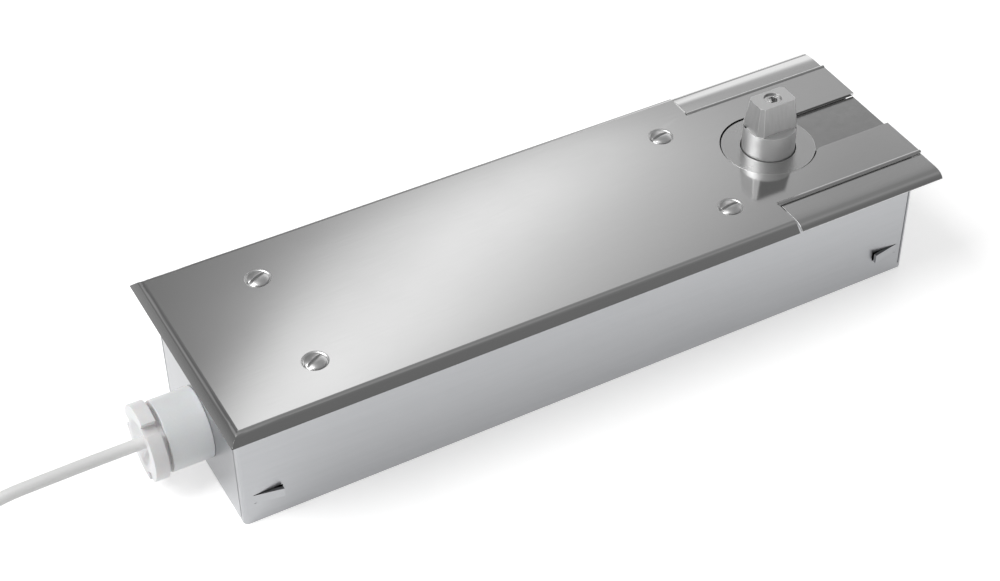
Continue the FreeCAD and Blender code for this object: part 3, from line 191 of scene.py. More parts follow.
def tinted(tree, mask, low, high, socket):
    """Feed a colour socket with a mix of two colours by the mask."""
    node = tree.nodes.new("ShaderNodeMix")
    node.data_type = "RGBA"
    node.inputs["A"].default_value = low
    node.inputs["B"].default_value = high
    tree.links.new(mask, node.inputs["Factor"])
    tree.links.new(node.outputs["Result"], socket)


def dented(tree, mask, height, shader):
    """Raise the surface by a mask; height is in metres."""
    bump = tree.nodes.new("ShaderNodeBump")
    bump.inputs["Strength"].default_value = 1.0
    bump.inputs["Distance"].default_value = height
    tree.links.new(mask, bump.inputs["Height"])
    tree.links.new(bump.outputs["Normal"], shader.inputs["Normal"])


def grained(name, low, high, rough, stretch, height, metallic=1.0):
    """A material with fine grain between two colours and in its relief, height metres deep, and slow
    smudges in its gloss between two roughnesses."""
    made, tree, shader = new_material(name)
    grain = use_group(tree, GRAIN, Stretch=stretch, Smudge_scale=SMUDGES_A_METRE)
    shader.inputs["Metallic"].default_value = metallic
    tinted(tree, grain.outputs["Grain"], low, high, shader.inputs["Base Color"])
    between(tree, grain.outputs["Smudge"], *rough, shader.inputs["Roughness"])
    dented(tree, grain.outputs["Grain"], height, shader)
    return made


def paint(material, *nodes):
    """Give a CAD node's own surface this material."""
    for name in nodes:
        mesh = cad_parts[name].data
        mesh.materials.clear()
        mesh.materials.append(material)


def eased_step(turn, start, end):
    """Smooth step of an angle between two angles: zero before the first and one after the second."""
    share = np.clip((turn - start) / (end - start), 0.0, 1.0)
    return share * share * (3.0 - 2.0 * share)


def coil_points():
    """The coil's turns: an outer stack that climbs, a shift inwards on top, and an inner stack that
    sinks. Each climb, and the shift, runs between two angles of its turn, in degrees."""
    count = int(COIL_TURNS * COIL_POINTS_A_TURN) + 1
    turn = np.arange(1, count) * 360.0 / COIL_POINTS_A_TURN
    climbs = sum(eased_step(turn, 360.0 * k + CLIMB[0], 360.0 * k + CLIMB[1]) for k in (0, 1))
    sinks = sum(eased_step(turn, 360.0 * k + CLIMB[0], 360.0 * k + CLIMB[1]) for k in (2, 3))
    height = CABLE_DIAMETER * (0.5 + climbs - sinks)
    radius = COIL_OUTER - CABLE_DIAMETER * eased_step(turn, 720.0 + INWARD[0], 720.0 + INWARD[1])
    # The spline cuts the corners of its control polygon by this share
    radius = radius / math.cos(math.pi / COIL_POINTS_A_TURN)
    angle = np.radians(turn)
    across = COIL_MIDDLE[0] - radius * np.sin(angle)
    along = COIL_MIDDLE[1] - radius * np.cos(angle)
    return list(zip(across.tolist(), along.tolist(), height.tolist()))


lead_points = list(CABLE_ROUTE) + coil_points()
lead_curve = bpy.data.curves.new("lead", "CURVE")
lead_curve.dimensions = "3D"
lead_curve.bevel_depth = CABLE_DIAMETER / 2
lead_curve.bevel_resolution = 5
lead_curve.use_fill_caps = True
lead_line = lead_curve.splines.new("NURBS")
lead_line.points.add(len(lead_points) - 1)
for place, point in zip(lead_points, lead_line.points):
    point.co = (*place, 1.0)
lead_line.order_u = 3
lead_line.use_endpoint_u = True
lead_line.resolution_u = 8
lead = bpy.data.objects.new("lead", lead_curve)
bpy.context.scene.collection.objects.link(lead)
jacket = grained("cable jacket", (0.74, 0.74, 0.735, 1.0), (0.79, 0.79, 0.785, 1.0), (0.36, 0.46),
                 (900.0,) * 3, 0.00002, metallic=0.0)
lead_curve.materials.append(jacket)
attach(lead, "base")
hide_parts("cable", "cable_coil")
paint(jacket, "inner_lead")


# Cement box
# Folded from zinc-plated sheet, with an anchor tab lanced out of each long wall near its ends and
# a seam beside its corner bends. The plating is bright and smooth, so the walls mirror the floor
# softly.


def grey(value):
    """A neutral colour."""
    return (value, value, value, 1.0)


zinc = grained("zinc plated sheet", (0.41, 0.416, 0.428, 1.0), (0.45, 0.456, 0.468, 1.0), (0.27, 0.31),
               (30.0, 500.0, 500.0), 0.000002)
zinc_edge = grained("sheared zinc edge", grey(0.60), grey(0.72), (0.4, 0.5), (700.0,) * 3, 0.000004)
EDGE_ANGLE = math.radians(35.0)
FLAT_ANGLE = math.radians(0.6)
PLAIN_SHARE = 0.3
# How near in metres two places are the same, touch, or are close by
SAME, TOUCHING, CLOSE = 1e-6, 1e-5, 1e-4


def standing_piece(name, mesh, body, slot, *nodes):
    """Put a finished mesh in the scene, on its body, in place of the nodes it stands for."""
    piece = bpy.data.objects.new(name, mesh)
    bpy.context.scene.collection.objects.link(piece)
    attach(piece, body)
    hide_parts(*nodes)
    return piece


def break_edges(piece, width, segments):
    """Break the marked edges with a small round in the second metal, and keep the flats flat."""
    bevel = piece.modifiers.new("broken edges", "BEVEL")
    bevel.width = width
    bevel.segments = segments
    bevel.limit_method = "WEIGHT"
    bevel.material = 1
    piece.modifiers.new("flat faces", "WEIGHTED_NORMAL").mode = "FACE_AREA"


def mark_sharp_edges(form, rolled=None):
    """Weigh the edges that turn by more than EDGE_ANGLE, for the bevel. Where a rule names rolled
    edges, by their middle, only those take its full width, and the others PLAIN_SHARE of it."""
    weight = form.edges.layers.float.new("bevel_weight_edge")
    for edge in form.edges:
        if len(edge.link_faces) == 2 and edge.calc_face_angle() > EDGE_ANGLE:
            middle = (edge.verts[0].co + edge.verts[1].co) / 2
            edge[weight] = 1.0 if rolled is None or rolled(middle) else PLAIN_SHARE


def eased(node, body, name, slot, material, edge, width, segments=2, reshape=None, cuts=(), rolled=None):
    """The node's own surface, merged and with its edges broken by a bevel of the given width; reshape
    moves its points, and cuts, each a place and a direction, add lines of points first."""
    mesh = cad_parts[node].data.copy()
    mesh.name = name
    form = bmesh.new()
    form.from_mesh(mesh)
    bmesh.ops.remove_doubles(form, verts=form.verts, dist=SAME)
    bmesh.ops.dissolve_limit(form, angle_limit=FLAT_ANGLE, verts=form.verts, edges=form.edges)
    mark_sharp_edges(form, rolled)
    for place, across in cuts:
        bmesh.ops.bisect_plane(form, geom=form.verts[:] + form.edges[:] + form.faces[:],
                               plane_co=place, plane_no=across)
    form.to_mesh(mesh)
    form.free()
    if reshape:
        points = np.empty(len(mesh.vertices) * 3)
        mesh.vertices.foreach_get("co", points)
        mesh.vertices.foreach_set("co", reshape(points.reshape(-1, 3)).ravel())
        mesh.update()
    mesh.materials.clear()
    mesh.materials.append(material)
    mesh.materials.append(edge)
    mesh.shade_smooth()
    piece = standing_piece(name, mesh, body, slot, node)
    break_edges(piece, width, segments)
    return piece


BOX_LOW, BOX_HIGH = (np.array(corner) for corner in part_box("cement_box"))
SEAM_IN = 0.0026
SEAM_WIDTH = 0.0009
SEAM_WALL = 0.00015
SEAM_DEPTH = 0.0012
SEAM_FOOT = 0.003
WALL_HALF = 0.041
SLOT_HALF = 0.0130
OPEN_HEIGHT = 0.0600
END_WALL = 0.003
# A groove's two slopes and its floor lie between four lines, and the lowered wall's step between two
SIDE_SEAM = (0.0026, 0.00245, 0.0014, 0.00125)
seam_lines = [WALL_HALF - SEAM_IN - step
              for step in (-SEAM_WALL, 0.0, SEAM_WIDTH, SEAM_WIDTH + SEAM_WALL)]
slot_lines = (SLOT_HALF, SLOT_HALF + SEAM_WALL)


def within(values, low, high):
    """Where the values lie from low to high, both ends counted in."""
    return (values > low - SAME) & (values < high + SAME)


def sink_seams(points):
    """Sink a groove beside each corner bend, where the folded flap ends, and lower the end wall under
    the plate's slot."""
    beside = np.abs(points[:, 1])
    high = points[:, 2] > SEAM_FOOT - SAME
    # The end walls have one at each side
    inside = within(beside, seam_lines[2], seam_lines[1])
    for wall, inward in ((BOX_LOW[0], SEAM_DEPTH), (BOX_HIGH[0], -SEAM_DEPTH)):
        on_wall = np.abs(points[:, 0] - wall) < TOUCHING
        points[:, 0] += np.where(inside & high & on_wall, inward, 0.0)
    # Each long wall has one at its spindle end
    inside = within(BOX_HIGH[0] - points[:, 0], SIDE_SEAM[2], SIDE_SEAM[1])
    on_wall = np.abs(beside - WALL_HALF) < TOUCHING
    points[:, 1] -= np.where(inside & high & on_wall, np.sign(points[:, 1]) * SEAM_DEPTH, 0.0)
    # The tongue passes over the lower wall
    under_slot = (beside < SLOT_HALF + SAME) & (points[:, 0] > BOX_HIGH[0] - END_WALL)
    points[:, 2] = np.where(under_slot & (points[:, 2] > OPEN_HEIGHT), OPEN_HEIGHT, points[:, 2])
    return points


seam_cuts = [((0.0, side * line, 0.0), (0.0, 1.0, 0.0)) for lines in (seam_lines, slot_lines)
             for side in (-1.0, 1.0) for line in lines]
seam_cuts += [((BOX_HIGH[0] - line, 0.0, 0.0), (1.0, 0.0, 0.0)) for line in SIDE_SEAM]
seam_cuts += [((0.0, 0.0, line), (0.0, 0.0, 1.0)) for line in (SEAM_FOOT, SEAM_FOOT - SEAM_WALL)]
eased("cement_box", "base", "folded_box", "galvanised", zinc, zinc_edge, width=0.0003,
      reshape=sink_seams, cuts=seam_cuts)


# Closer body
# A grey iron casting with a sand-cast skin, held down in the box by four socket screws.
cast = grained("grey iron casting", (0.16, 0.165, 0.17, 1.0), (0.23, 0.235, 0.24, 1.0), (0.45, 0.62),
               (700.0,) * 3, 0.0001, metallic=0.3)
paint(cast, "closer_body")
RINGS_A_METRE = 2500.0
TURNED_SMUDGES = 60.0


def math_step(tree, operation, first, second):
    """One sum on two sockets or constants; gives its output."""
    node = tree.nodes.new("ShaderNodeMath")
    node.operation = operation
    feed(tree, first, node.inputs[0])
    feed(tree, second, node.inputs[1])
    return node.outputs["Value"]


def turned_group():
    """Group: tool marks of a lathe, as rings about the line through Centre along Axis, and as steps
    along it, Pitch of them a metre."""
    tree, given, result = new_group("turned rings", (
        ("Centre", "NodeSocketVector", (0.0, 0.0, 0.0)), ("Axis", "NodeSocketVector", (0.0, 0.0, 1.0)),
        ("Pitch", "NodeSocketFloat", RINGS_A_METRE)), ("Ring", "Along"))
    place = tree.nodes.new("ShaderNodeTexCoord").outputs["Object"]
    away = vector_step(tree, "SUBTRACT", place, given.outputs["Centre"]).outputs["Vector"]
    height = vector_step(tree, "DOT_PRODUCT", away, given.outputs["Axis"]).outputs["Value"]
    rod = scaled(tree, given.outputs["Axis"], height)
    spoke = vector_step(tree, "SUBTRACT", away, rod).outputs["Vector"]
    reach = vector_step(tree, "LENGTH", spoke).outputs["Value"]
    for distance, label in ((reach, "Ring"), (height, "Along")):
        marks = tree.nodes.new("ShaderNodeTexNoise")
        marks.noise_dimensions = "1D"
        marks.inputs["Scale"].default_value = 1.0
        marks.inputs["Detail"].default_value = 3.0
        feed(tree, math_step(tree, "MULTIPLY", distance, given.outputs["Pitch"]), marks.inputs["W"])
        tree.links.new(marks.outputs["Fac"], result.inputs[label])
    return tree


TURNED = turned_group()


def turned_metal(name, low, high, rough, height, mark="Ring"):
    """Metal turned about the spindle's axis: tool marks between two greys and in its relief, and slow
    smudges in its gloss."""
    made, tree, shader = new_material(name)
    marks = use_group(tree, TURNED).outputs[mark]
    grain = use_group(tree, GRAIN, Smudge_scale=TURNED_SMUDGES)
    shader.inputs["Metallic"].default_value = 1.0
    tinted(tree, marks, grey(low), grey(high), shader.inputs["Base Color"])
    between(tree, grain.outputs["Smudge"], *rough, shader.inputs["Roughness"])
    dented(tree, marks, height, shader)
    return made


plated = turned_metal("nickel plated screw", 0.60, 0.72, (0.2, 0.3), 0.000006)
paint(plated, "body_screws", "terminal_screws", "preload_screw")


# Bearings, seal and bearing cover
# Needle bearings of ground steel, a nitrile lip seal, and a dark machined iron cover whose disc
# shows round the spindle.
ground = grained("ground steel", grey(0.50), grey(0.58), (0.18, 0.28), (600.0, 600.0, 60.0), 0.000004)
rubber = grained("oil-proof rubber", grey(0.020), grey(0.035), (0.5, 0.65), (900.0,) * 3, 0.00001,
                 metallic=0.0)
paint(ground, "upper_bearing", "lower_bearing", "cam", "cam_key", "cam_roller", "roller_pin", "check_ball",
      "check_retainer", "piston", "spring_seat", "end_plug", "solenoid_tube", "solenoid_plunger",
      "channel_plugs")
paint(rubber, "shaft_seal", "piston_ring", "end_plug_ring", "gland_seal")
dark_iron = turned_metal("machined dark iron", 0.47, 0.58, (0.22, 0.30), 0.000004)
iron_edge = turned_metal("turned iron rim", 0.60, 0.70, (0.35, 0.45), 0.000004)
DISC_TOP = 0.0628
DISC_RADIUS_CAD, DISC_RADIUS = 0.0210, 0.0212


def raise_disc(points):
    """Bring the cover's round top up to just under the plate, and out to the disc's full radius."""
    reach = np.hypot(points[:, 0], points[:, 1])
    top = points[:, 2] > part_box("bearing_cover")[1][2] - TOUCHING
    outer = np.abs(reach - DISC_RADIUS_CAD) < CLOSE
    points[:, :2] *= np.where(outer, DISC_RADIUS / DISC_RADIUS_CAD, 1.0)[:, None]
    points[:, 2] = np.where(top, DISC_TOP, points[:, 2])
    return points


eased("bearing_cover", "base", "bearing_disc", "bearing_cover", dark_iron, iron_edge, width=0.0005,
      segments=3, reshape=raise_disc)


# Spindle, drive block and its screw
# The spindle is turned and ground. Its insert has a round turned collar and a milled block that
# tapers, with a socket screw sunk in its top.
shaft = turned_metal("ground spindle", 0.50, 0.60, (0.18, 0.26), 0.000004, mark="Along")
paint(shaft, "spindle")
milled = grained("milled steel block", grey(0.42), grey(0.56), (0.46, 0.56), (700.0, 700.0, 25.0), 0.00001)
# Lighter grey on broken edges: partly bare steel, partly a painted highlight.
bare_edge_and_painted_highlight = grained("bare steel edge and painted highlight", grey(0.66), grey(0.80), (0.40, 0.50), (700.0,) * 3, 0.000004)
# The faced metal's lighter grey on the collar and the block's top is painted light, for the lit top and the
# collar's highlights; its turned rings are real.
faced_painted_light = turned_metal("faced steel with painted light", 0.66, 0.78, (0.46, 0.56), 0.000008)
INSERT_FOOT, INSERT_TOP = (corner[2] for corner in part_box("spindle_insert"))
COLLAR_FOOT = 0.061
COLLAR_TOP_CAD, COLLAR_TOP = 0.0733, 0.0751
BLOCK_TOP = 0.0889
INSIDE_COLLAR = 0.01195
FOOT_GROWTH = (1.0, 7.8 / 6.8)
TOP_GROWTH = (9.1 / 8.5, 5.6 / 5.3)
HOLE_RIM = 0.0055
FACING_UP = 0.99


def reshape_block(points):
    """Lengthen the collar, shorten the block and widen it. The block's growth along X and Y runs
    evenly from its foot to its top."""
    reach = np.hypot(points[:, 0], points[:, 1])
    height = points[:, 2]
    share = np.clip((height - COLLAR_TOP_CAD) / (INSERT_TOP - COLLAR_TOP_CAD), 0.0, 1.0)
    block = (height > COLLAR_TOP_CAD - TOUCHING) & (reach < INSIDE_COLLAR) & (reach > HOLE_RIM)
    for axis in (0, 1):
        growth = FOOT_GROWTH[axis] + (TOP_GROWTH[axis] - FOOT_GROWTH[axis]) * share
        points[:, axis] *= np.where(block, growth, 1.0)
    points[:, 2] = np.interp(height, (INSERT_FOOT, COLLAR_FOOT, COLLAR_TOP_CAD, INSERT_TOP),
                             (INSERT_FOOT, COLLAR_FOOT, COLLAR_TOP, BLOCK_TOP))
    return points


def lower_screw(points):
    """Let the screw's head down with the block's top."""
    points[:, 2] -= np.where(points[:, 2] > COLLAR_TOP, INSERT_TOP - BLOCK_TOP, 0.0)
    return points


def lathe_faces_painted_light(middle, normal):
    """True on the faces that were turned, the collar's and the block's top, which take a lighter grey as
    painted light.
    """
    return middle.z < COLLAR_TOP + CLOSE or (normal.z > FACING_UP and middle.z > BLOCK_TOP - CLOSE)


def sort_faces(piece, material, chosen):
    """Give the faces that a rule chooses, from their middle and normal, a metal of their own."""
    piece.data.materials.append(material)
    for face in piece.data.polygons:
        if chosen(face.center, face.normal):
            face.material_index = len(piece.data.materials) - 1


drive_block = eased("spindle_insert", "spindle", "drive_block", "machined_spindle", milled, bare_edge_and_painted_highlight,
                    width=0.0005, reshape=reshape_block)
sort_faces(drive_block, faced_painted_light, lathe_faces_painted_light)
eased("insert_screw", "spindle", "drive_screw", "screw_steel", plated, plated, width=0.00025,
      reshape=lower_screw)


# Springs and valves
# Oil-tempered spring wire, brass regulating screws and the moulded hold-open coil.
spring_wire = grained("oil-tempered wire", grey(0.10), grey(0.16), (0.3, 0.4), (500.0,) * 3, 0.00001, 0.8)
paint(spring_wire, "closing_spring_outer", "closing_spring_inner", "check_spring", "plunger_spring")
brass = grained("turned brass", (0.58, 0.42, 0.16, 1.0), (0.68, 0.52, 0.22, 1.0), (0.2, 0.3),
                (900.0,) * 3, 0.000005)
paint(brass, "closing_valve", "latching_valve", "backcheck_valve")
winding = grained("moulded coil", grey(0.03), grey(0.05), (0.4, 0.5), (400.0,) * 3, 0.00002, metallic=0.0)
paint(winding, "solenoid_coil")
pale_block = grained("terminal plastic", (0.66, 0.66, 0.64, 1.0), (0.72, 0.72, 0.70, 1.0), (0.35, 0.45),
                     (700.0,) * 3, 0.00001, metallic=0.0)
paint(pale_block, "terminal_block")
core_skin = grained("core insulation", (0.20, 0.10, 0.05, 1.0), (0.26, 0.14, 0.07, 1.0), (0.35, 0.45),
                    (900.0,) * 3, 0.00001, metallic=0.0)
paint(core_skin, "lead_cores")


# Cable gland
# Moulded in pale grey polyamide: a round body through the end wall, a cap with three grip notches
# and a locknut inside.
GLAND_X = ((-0.3072, -0.3002, -0.2980, -0.2790), (-0.3054, -0.2992, -0.2972, -0.2790))
BARREL_RADII = ((0.0, 0.0125, 0.0150, 0.0200), (0.0, 0.0125, 0.0158, 0.0200))
GLAND_HEIGHT = 0.0245
CAP_TURN = math.radians(-30.0)
GLAND_LOW, GLAND_HIGH = (0.78, 0.77, 0.775, 1.0), (0.83, 0.82, 0.825, 1.0)
polyamide = grained("moulded polyamide", GLAND_LOW, GLAND_HIGH, (0.32, 0.42), (1200.0,) * 3, 0.00001,
                    metallic=0.0)
polyamide.node_tree.nodes["Principled BSDF"].inputs["Subsurface Weight"].default_value = 0.1


def shorter_gland(points):
    """Draw the gland's outer lengths in, by a table of old and new places along X."""
    outside = points[:, 0] < GLAND_X[0][-1]
    points[:, 0] = np.where(outside, np.interp(points[:, 0], *GLAND_X), points[:, 0])
    return points


def fuller_barrel(points):
    """Widen the barrel about the gland's axis, by a table of old and new radii."""
    reach = np.hypot(points[:, 1], points[:, 2] - GLAND_HEIGHT)
    growth = np.interp(reach, *BARREL_RADII) / np.maximum(reach, SAME)
    growth = np.where(points[:, 0] < GLAND_X[0][-1] + TOUCHING, growth, 1.0)
    points[:, 1] *= growth
    points[:, 2] = GLAND_HEIGHT + (points[:, 2] - GLAND_HEIGHT) * growth
    return shorter_gland(points)


def turned_cap(points):
    """Turn the cap about the gland's axis to where it was tightened."""
    across, height = points[:, 1].copy(), points[:, 2] - GLAND_HEIGHT
    points[:, 1] = across * math.cos(CAP_TURN) - height * math.sin(CAP_TURN)
    points[:, 2] = GLAND_HEIGHT + across * math.sin(CAP_TURN) + height * math.cos(CAP_TURN)
    return shorter_gland(points)


eased("gland_body", "base", "gland_barrel", "gland_plastic", polyamide, polyamide, width=0.0004,
      segments=3, reshape=fuller_barrel)
eased("gland_cap", "base", "gland_end", "gland_plastic", polyamide, polyamide, width=0.0005,
      segments=3, reshape=turned_cap)
paint(polyamide, "gland_locknut")


# Cover plate, edge strips and tongue
# Pressed from satin stainless sheet and deburred. The fine bright line on every sheared edge is a
# painted highlight, a lighter grey on the edge's small round. The strips are bowed down to the
# rim, and the tongue fills the spindle's slot.
satin = grained("satin stainless", grey(0.60), grey(0.64), (0.09, 0.12), (60.0, 1500.0, 1500.0), 0.000001)
# The lighter grey on the plate's rolled and broken edges is a painted highlight.
satin_edge_painted_highlight = grained("rolled stainless edge with painted highlight", grey(0.68), grey(0.76), (0.16, 0.22), (400.0,) * 3, 0.000002)
pressed = grained("pressed stainless", grey(0.68), grey(0.76), (0.36, 0.46), (900.0,) * 3, 0.000002)
dull = grained("unbrushed stainless", grey(0.36), grey(0.44), (0.16, 0.22), (300.0, 300.0, 300.0), 0.000003)
SCREWS_LOW, SCREWS_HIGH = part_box("cover_screws")
SCREW_RADIUS = 0.005
screw_spots = [(x, y) for x in (SCREWS_LOW[0] + SCREW_RADIUS, SCREWS_HIGH[0] - SCREW_RADIUS)
               for y in (SCREWS_LOW[1] + SCREW_RADIUS, SCREWS_HIGH[1] - SCREW_RADIUS)]
DIMPLE_RINGS = ((0.0, 0.0034, 0.0058, 0.0085, 0.0120), (0.0, 0.0034, 0.0049, 0.0058, 0.0120))
HEAD_RINGS = ((0.0, 0.0031, 0.0050, 0.0060), (0.0, 0.0031, 0.0046, 0.0060))
KEYHOLE_REACH = 0.0223
PLATE_TOP = 0.0633
ROLL_WIDTH = 0.0010
PANEL_EDGE = 0.0382
RIM_EDGE, RIM_HEIGHT = 0.0545, 0.0595
STRIP_TOP = 0.0625
STRIP_SHEET = 0.0015
STRIP_START = -0.0190
STRIP_REACH = 0.001
NEAR_BOW, FAR_BOW = 9.0, 5.0
STRIP_ROWS = 33
STRIP_BREAK = 0.00025
TONGUE_RAISED = 0.0012
TONGUE_GAP = 0.0004
DIMPLE_REACH = 0.0066
SLOPING = 0.98


def about_screws(points, rings):
    """Move points towards or from the nearest screw's axis, by a table of old and new radii."""
    for spot in screw_spots:
        away = points[:, :2] - spot
        reach = np.hypot(away[:, 0], away[:, 1])
        moved = np.interp(reach, *rings, right=0.0)
        near = (reach > SAME) & (reach < rings[0][-1])
        growth = np.where(near, moved / np.maximum(reach, SAME) - 1.0, 0.0)
        points[:, :2] += away * growth[:, None]
    return points


def strip_mesh(name, side, bow):
    """Edge strip: a bowed section carried along X. Its top sinks from the panel's edge to the rim by the
    strip's fall times the share of the way to a power, and its foot runs a sheet below, down to the rim."""
    low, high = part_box(name)
    share = np.linspace(0.0, 1.0, STRIP_ROWS)
    out = PANEL_EDGE + (RIM_EDGE - PANEL_EDGE) * share
    top = STRIP_TOP - (STRIP_TOP - RIM_HEIGHT) * share ** bow
    under = np.maximum(top - STRIP_SHEET, RIM_HEIGHT)
    across = np.concatenate((out, out[-2::-1]))
    height = np.concatenate((top, under[-2::-1]))
    count = len(across)
    points = np.array([np.column_stack((np.full(count, x), side * across, height))
                       for x in (low[0], high[0])])
    near = np.arange(count)
    after = (near + 1) % count
    walls = np.column_stack((near, after, after + count, near + count))
    ends = [tuple(near), tuple(near[::-1] + count)]
    mesh = bpy.data.meshes.new(name)
    mesh.from_pydata(points.reshape(-1, 3).tolist(), [], walls.tolist() + ends)
    return mesh


def edge_strip(node, name, side, bow):
    """Finish an edge strip: outward faces, marked edges, its sheet and the painted highlight on its sheared
    edge.
    """
    mesh = strip_mesh(node, side, bow)
    form = bmesh.new()
    form.from_mesh(mesh)
    bmesh.ops.recalc_face_normals(form, faces=form.faces)
    mark_sharp_edges(form)
    form.to_mesh(mesh)
    form.free()
    mesh.materials.append(satin)
    mesh.materials.append(bare_edge_and_painted_highlight)
    mesh.shade_smooth()
    piece = standing_piece(name, mesh, "base", "stainless", node)
    break_edges(piece, width=STRIP_BREAK, segments=2)


def smaller_dimples(points):
    """Press the dimples no wider than the heads need."""
    return about_screws(points, DIMPLE_RINGS)


def wider_heads(points):
    """Widen the heads to fill their dimples."""
    return about_screws(points, HEAD_RINGS)


def longer_tongue(points):
    """Bring the tongue's end out to just short of the plate's end, and its sheet up to just under
    the plate's."""
    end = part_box("slot_tongue")[1][0]
    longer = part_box("cover_plate")[1][0] - TONGUE_GAP - end
    points[:, 0] += np.where(points[:, 0] > end - TOUCHING, longer, 0.0)
    points[:, 2] += TONGUE_RAISED
    return points


def round_the_slot(middle):
    """True on the top edges of the keyhole, of its slot and of the panels beside the strips, which
    are rolled."""
    by_hole = math.hypot(middle.x, middle.y) < KEYHOLE_REACH
    by_slot = abs(middle.y) < SLOT_HALF + CLOSE and middle.x > 0.0
    by_strip = abs(abs(middle.y) - PANEL_EDGE) < STRIP_REACH and middle.x > STRIP_START
    return middle.z > PLATE_TOP - CLOSE and (by_hole or by_slot or by_strip)


def in_a_dimple(middle, normal):
    """True on the sloping faces round a screw, which the press stretched."""
    return normal.z < SLOPING and any(math.hypot(middle.x - x, middle.y - y) < DIMPLE_REACH
                                      for x, y in screw_spots)


cover = eased("cover_plate", "base", "pressed_cover", "stainless", satin, satin_edge_painted_highlight, width=ROLL_WIDTH,
              segments=4, reshape=smaller_dimples, rolled=round_the_slot)
sort_faces(cover, pressed, in_a_dimple)
edge_strip("edge_strip_near", "near_strip", side=-1, bow=NEAR_BOW)
edge_strip("edge_strip_far", "far_strip", side=1, bow=FAR_BOW)
eased("slot_tongue", "base", "filler_tongue", "stainless", dull, bare_edge_and_painted_highlight, width=0.00025,
      reshape=longer_tongue)
bright = grained("bright screw head", grey(0.62), grey(0.72), (0.34, 0.42), (900.0,) * 3, 0.00001)
eased("cover_screws", "base", "raised_screws", "screw_steel", bright, bright, width=0.00015,
      reshape=wider_heads)


# Floor and light
# A white floor that keeps the object's shadow, under a plain soft studio dome and one large lamp.
# The floor glows a little to the camera and in reflections, so that the background is white.
FLOOR_HALF = 4.0
FLOOR_GLOW = 0.52
FLOOR_GREY, FLOOR_ROUGHNESS = 0.86, 0.9
corners = [(x * FLOOR_HALF, y * FLOOR_HALF, 0.0) for x, y in ((-1, -1), (1, -1), (1, 1), (-1, 1))]
floor_mesh = bpy.data.meshes.new("floor")
floor_mesh.from_pydata(corners, [], [(0, 1, 2, 3)])
floor = bpy.data.objects.new("floor", floor_mesh)
bpy.context.scene.collection.objects.link(floor)
white, white_tree, white_shader = new_material("white floor")
white_shader.inputs["Base Color"].default_value = grey(FLOOR_GREY)
white_shader.inputs["Roughness"].default_value = FLOOR_ROUGHNESS
rays = white_tree.nodes.new("ShaderNodeLightPath")
glow = white_tree.nodes.new("ShaderNodeEmission")
glow.inputs["Color"].default_value = grey(1.0)
seen = rays.outputs["Is Camera Ray"]
for kind in ("Is Glossy Ray", "Is Transmission Ray"):
    seen = math_step(white_tree, "MAXIMUM", seen, rays.outputs[kind])
feed(white_tree, math_step(white_tree, "MULTIPLY", seen, FLOOR_GLOW), glow.inputs["Strength"])
both = white_tree.nodes.new("ShaderNodeAddShader")
white_tree.links.new(white_shader.outputs["BSDF"], both.inputs[0])
white_tree.links.new(glow.outputs["Emission"], both.inputs[1])
white_tree.links.new(both.outputs["Shader"], white_tree.nodes["Material Output"].inputs["Surface"])
floor_mesh.materials.append(white)

# The studio's dome is pale round the horizon. Higher up it has one broad bright window behind the
# object, whose bowed slanting edge the cover mirrors, a bright card beside it and dimmer sides.
# Each table gives a place on the dome and the brightness or share there.
WINDOW = Vector((-back.x, -back.y, back.z))
WINDOW_RIGHT = level
WINDOW_UP = level.cross(WINDOW)
WINDOW_SLANT = math.radians(49.5)
WINDOW_BOW, BOW_MIDDLE = 2.4, 0.04
LEAST_AHEAD = 0.05
WINDOW_EDGE = ((-0.080, 0.0), (-0.074, 0.10), (-0.060, 0.90), (-0.052, 1.0))
WINDOW_PANE = ((-0.15, 1.08), (-0.07, 1.25), (-0.045, 1.42), (-0.015, 1.22), (0.0, 1.02), (0.03, 0.76),
               (0.06, 0.62), (0.11, 0.42), (0.45, 0.30))
SHADE = ((-0.60, 0.16), (-0.17, 0.26), (-0.10, 0.44), (0.05, 0.52))
WINDOW_SPAN = ((0.55, 0.0), (0.85, 1.0))
CARD_ACROSS = ((-0.06, 0.0), (0.03, 1.0))
CARD_ABOVE = ((-0.20, 1.0), (-0.13, 0.0))
CARD_LEVEL = 1.25
DIM_SIDES = ((-0.95, 0.40), (-0.75, 0.19), (-0.45, 0.24), (0.0, 0.45), (0.4, 0.50), (0.8, 0.30))
LEFT_SIDE = ((-0.80, 0.35), (-0.62, 0.60), (-0.45, 1.6), (-0.20, 1.6), (0.05, 1.0))
HORIZON = ((0.13, 1.0), (0.24, 0.0))
HORIZON_LEVEL = ((0.60, 0.95), (0.95, 0.25))
world = bpy.data.worlds.new("studio")
bpy.context.scene.world = world
world.use_nodes = True
dome = world.node_tree
sky = dome.nodes["Background"]
sky.inputs["Color"].default_value = grey(1.0)
toward = dome.nodes.new("ShaderNodeTexCoord").outputs["Generated"]


def seen_along(direction):
    """Share of the looked-at direction that lies along a fixed one."""
    return vector_step(dome, "DOT_PRODUCT", toward, tuple(direction)).outputs["Value"]


def reckon(operation, first, second):
    """One sum in the dome, on sockets or numbers."""
    return math_step(dome, operation, first, second)


def ramp(value, stops):
    """A grey ramp of a value through (value, brightness) stops."""
    low, high = stops[0][0], stops[-1][0]
    share = dome.nodes.new("ShaderNodeMapRange")
    share.inputs["From Min"].default_value = low
    share.inputs["From Max"].default_value = high
    dome.links.new(value, share.inputs["Value"])
    node = dome.nodes.new("ShaderNodeValToRGB")
    while len(node.color_ramp.elements) < len(stops):
        node.color_ramp.elements.new(0.5)
    for element, (place, bright_level) in zip(node.color_ramp.elements, stops):
        element.position = (place - low) / (high - low)
        element.color = grey(bright_level)
    dome.links.new(share.outputs["Result"], node.inputs["Fac"])
    return node.outputs["Color"]


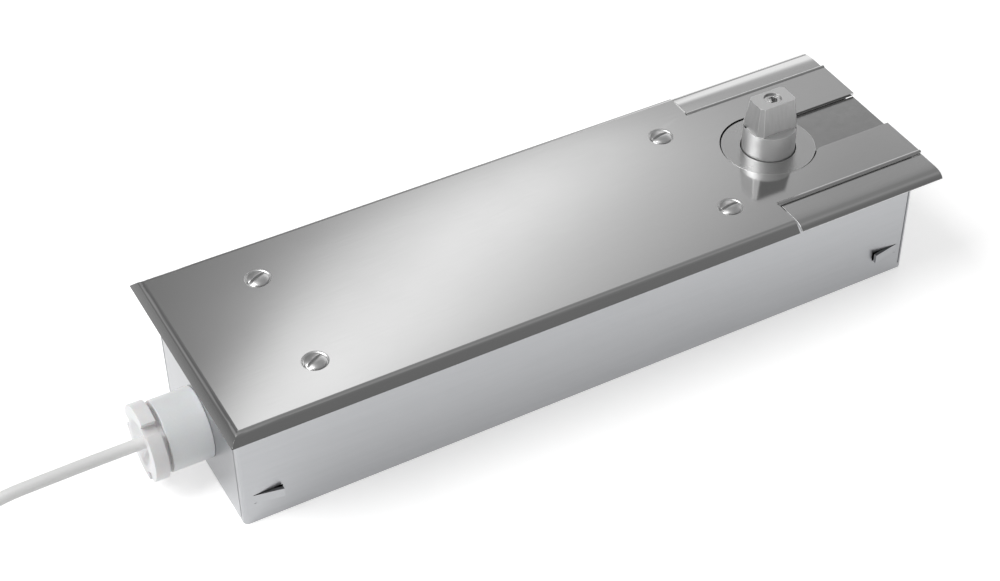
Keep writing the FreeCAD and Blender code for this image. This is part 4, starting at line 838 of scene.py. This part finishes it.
def blend_light(share, low, high):
    """Mix two brightnesses by a share."""
    node = dome.nodes.new("ShaderNodeMix")
    for label, value in (("Factor", share), ("A", low), ("B", high)):
        feed(dome, value, node.inputs[label])
    return node.outputs["Result"]


ahead = reckon("MAXIMUM", seen_along(WINDOW), LEAST_AHEAD)
across = reckon("DIVIDE", seen_along(WINDOW_RIGHT), ahead)
above = reckon("DIVIDE", seen_along(WINDOW_UP), ahead)
slanted = reckon("ADD", reckon("MULTIPLY", across, math.cos(WINDOW_SLANT)),
                 reckon("MULTIPLY", above, math.sin(WINDOW_SLANT)))
along_edge = reckon("ADD", reckon("MULTIPLY", across, -math.sin(WINDOW_SLANT)),
                    reckon("MULTIPLY", above, math.cos(WINDOW_SLANT)))
off_middle = reckon("SUBTRACT", along_edge, BOW_MIDDLE)
off_square = reckon("MULTIPLY", off_middle, off_middle)
bowed = reckon("SUBTRACT", slanted, reckon("MULTIPLY", off_square, WINDOW_BOW))
pane = ramp(reckon("ADD", across, above), WINDOW_PANE)
window = blend_light(ramp(bowed, WINDOW_EDGE), ramp(across, SHADE), pane)
card = reckon("MULTIPLY", ramp(across, CARD_ACROSS), ramp(above, CARD_ABOVE))
window = blend_light(card, window, CARD_LEVEL)
rightward, farward, skyward = (seen_along(axis) for axis in Matrix.Identity(3))
sides = reckon("MULTIPLY", ramp(farward, DIM_SIDES), ramp(rightward, LEFT_SIDE))
studio = blend_light(ramp(seen_along(WINDOW), WINDOW_SPAN), sides, window)
level_share = ramp(skyward, HORIZON)
horizon = ramp(farward, HORIZON_LEVEL)
dome.links.new(blend_light(level_share, studio, horizon), sky.inputs["Strength"])

# One large square lamp stands high up beyond the cable's end, is aimed at the plate and draws the
# soft shadows.
KEY_PLACE = Vector((-1.7, 0.3, 2.1))
KEY_SIZE = 1.6
KEY_POWER = 48.0
lamp = bpy.data.lights.new("key", "AREA")
lamp.size = KEY_SIZE
lamp.energy = KEY_POWER
holder = bpy.data.objects.new("key", lamp)
bpy.context.scene.collection.objects.link(holder)
holder.location = KEY_PLACE
holder.rotation_euler = (PLATE_MIDDLE - KEY_PLACE).to_track_quat("-Z", "Y").to_euler()
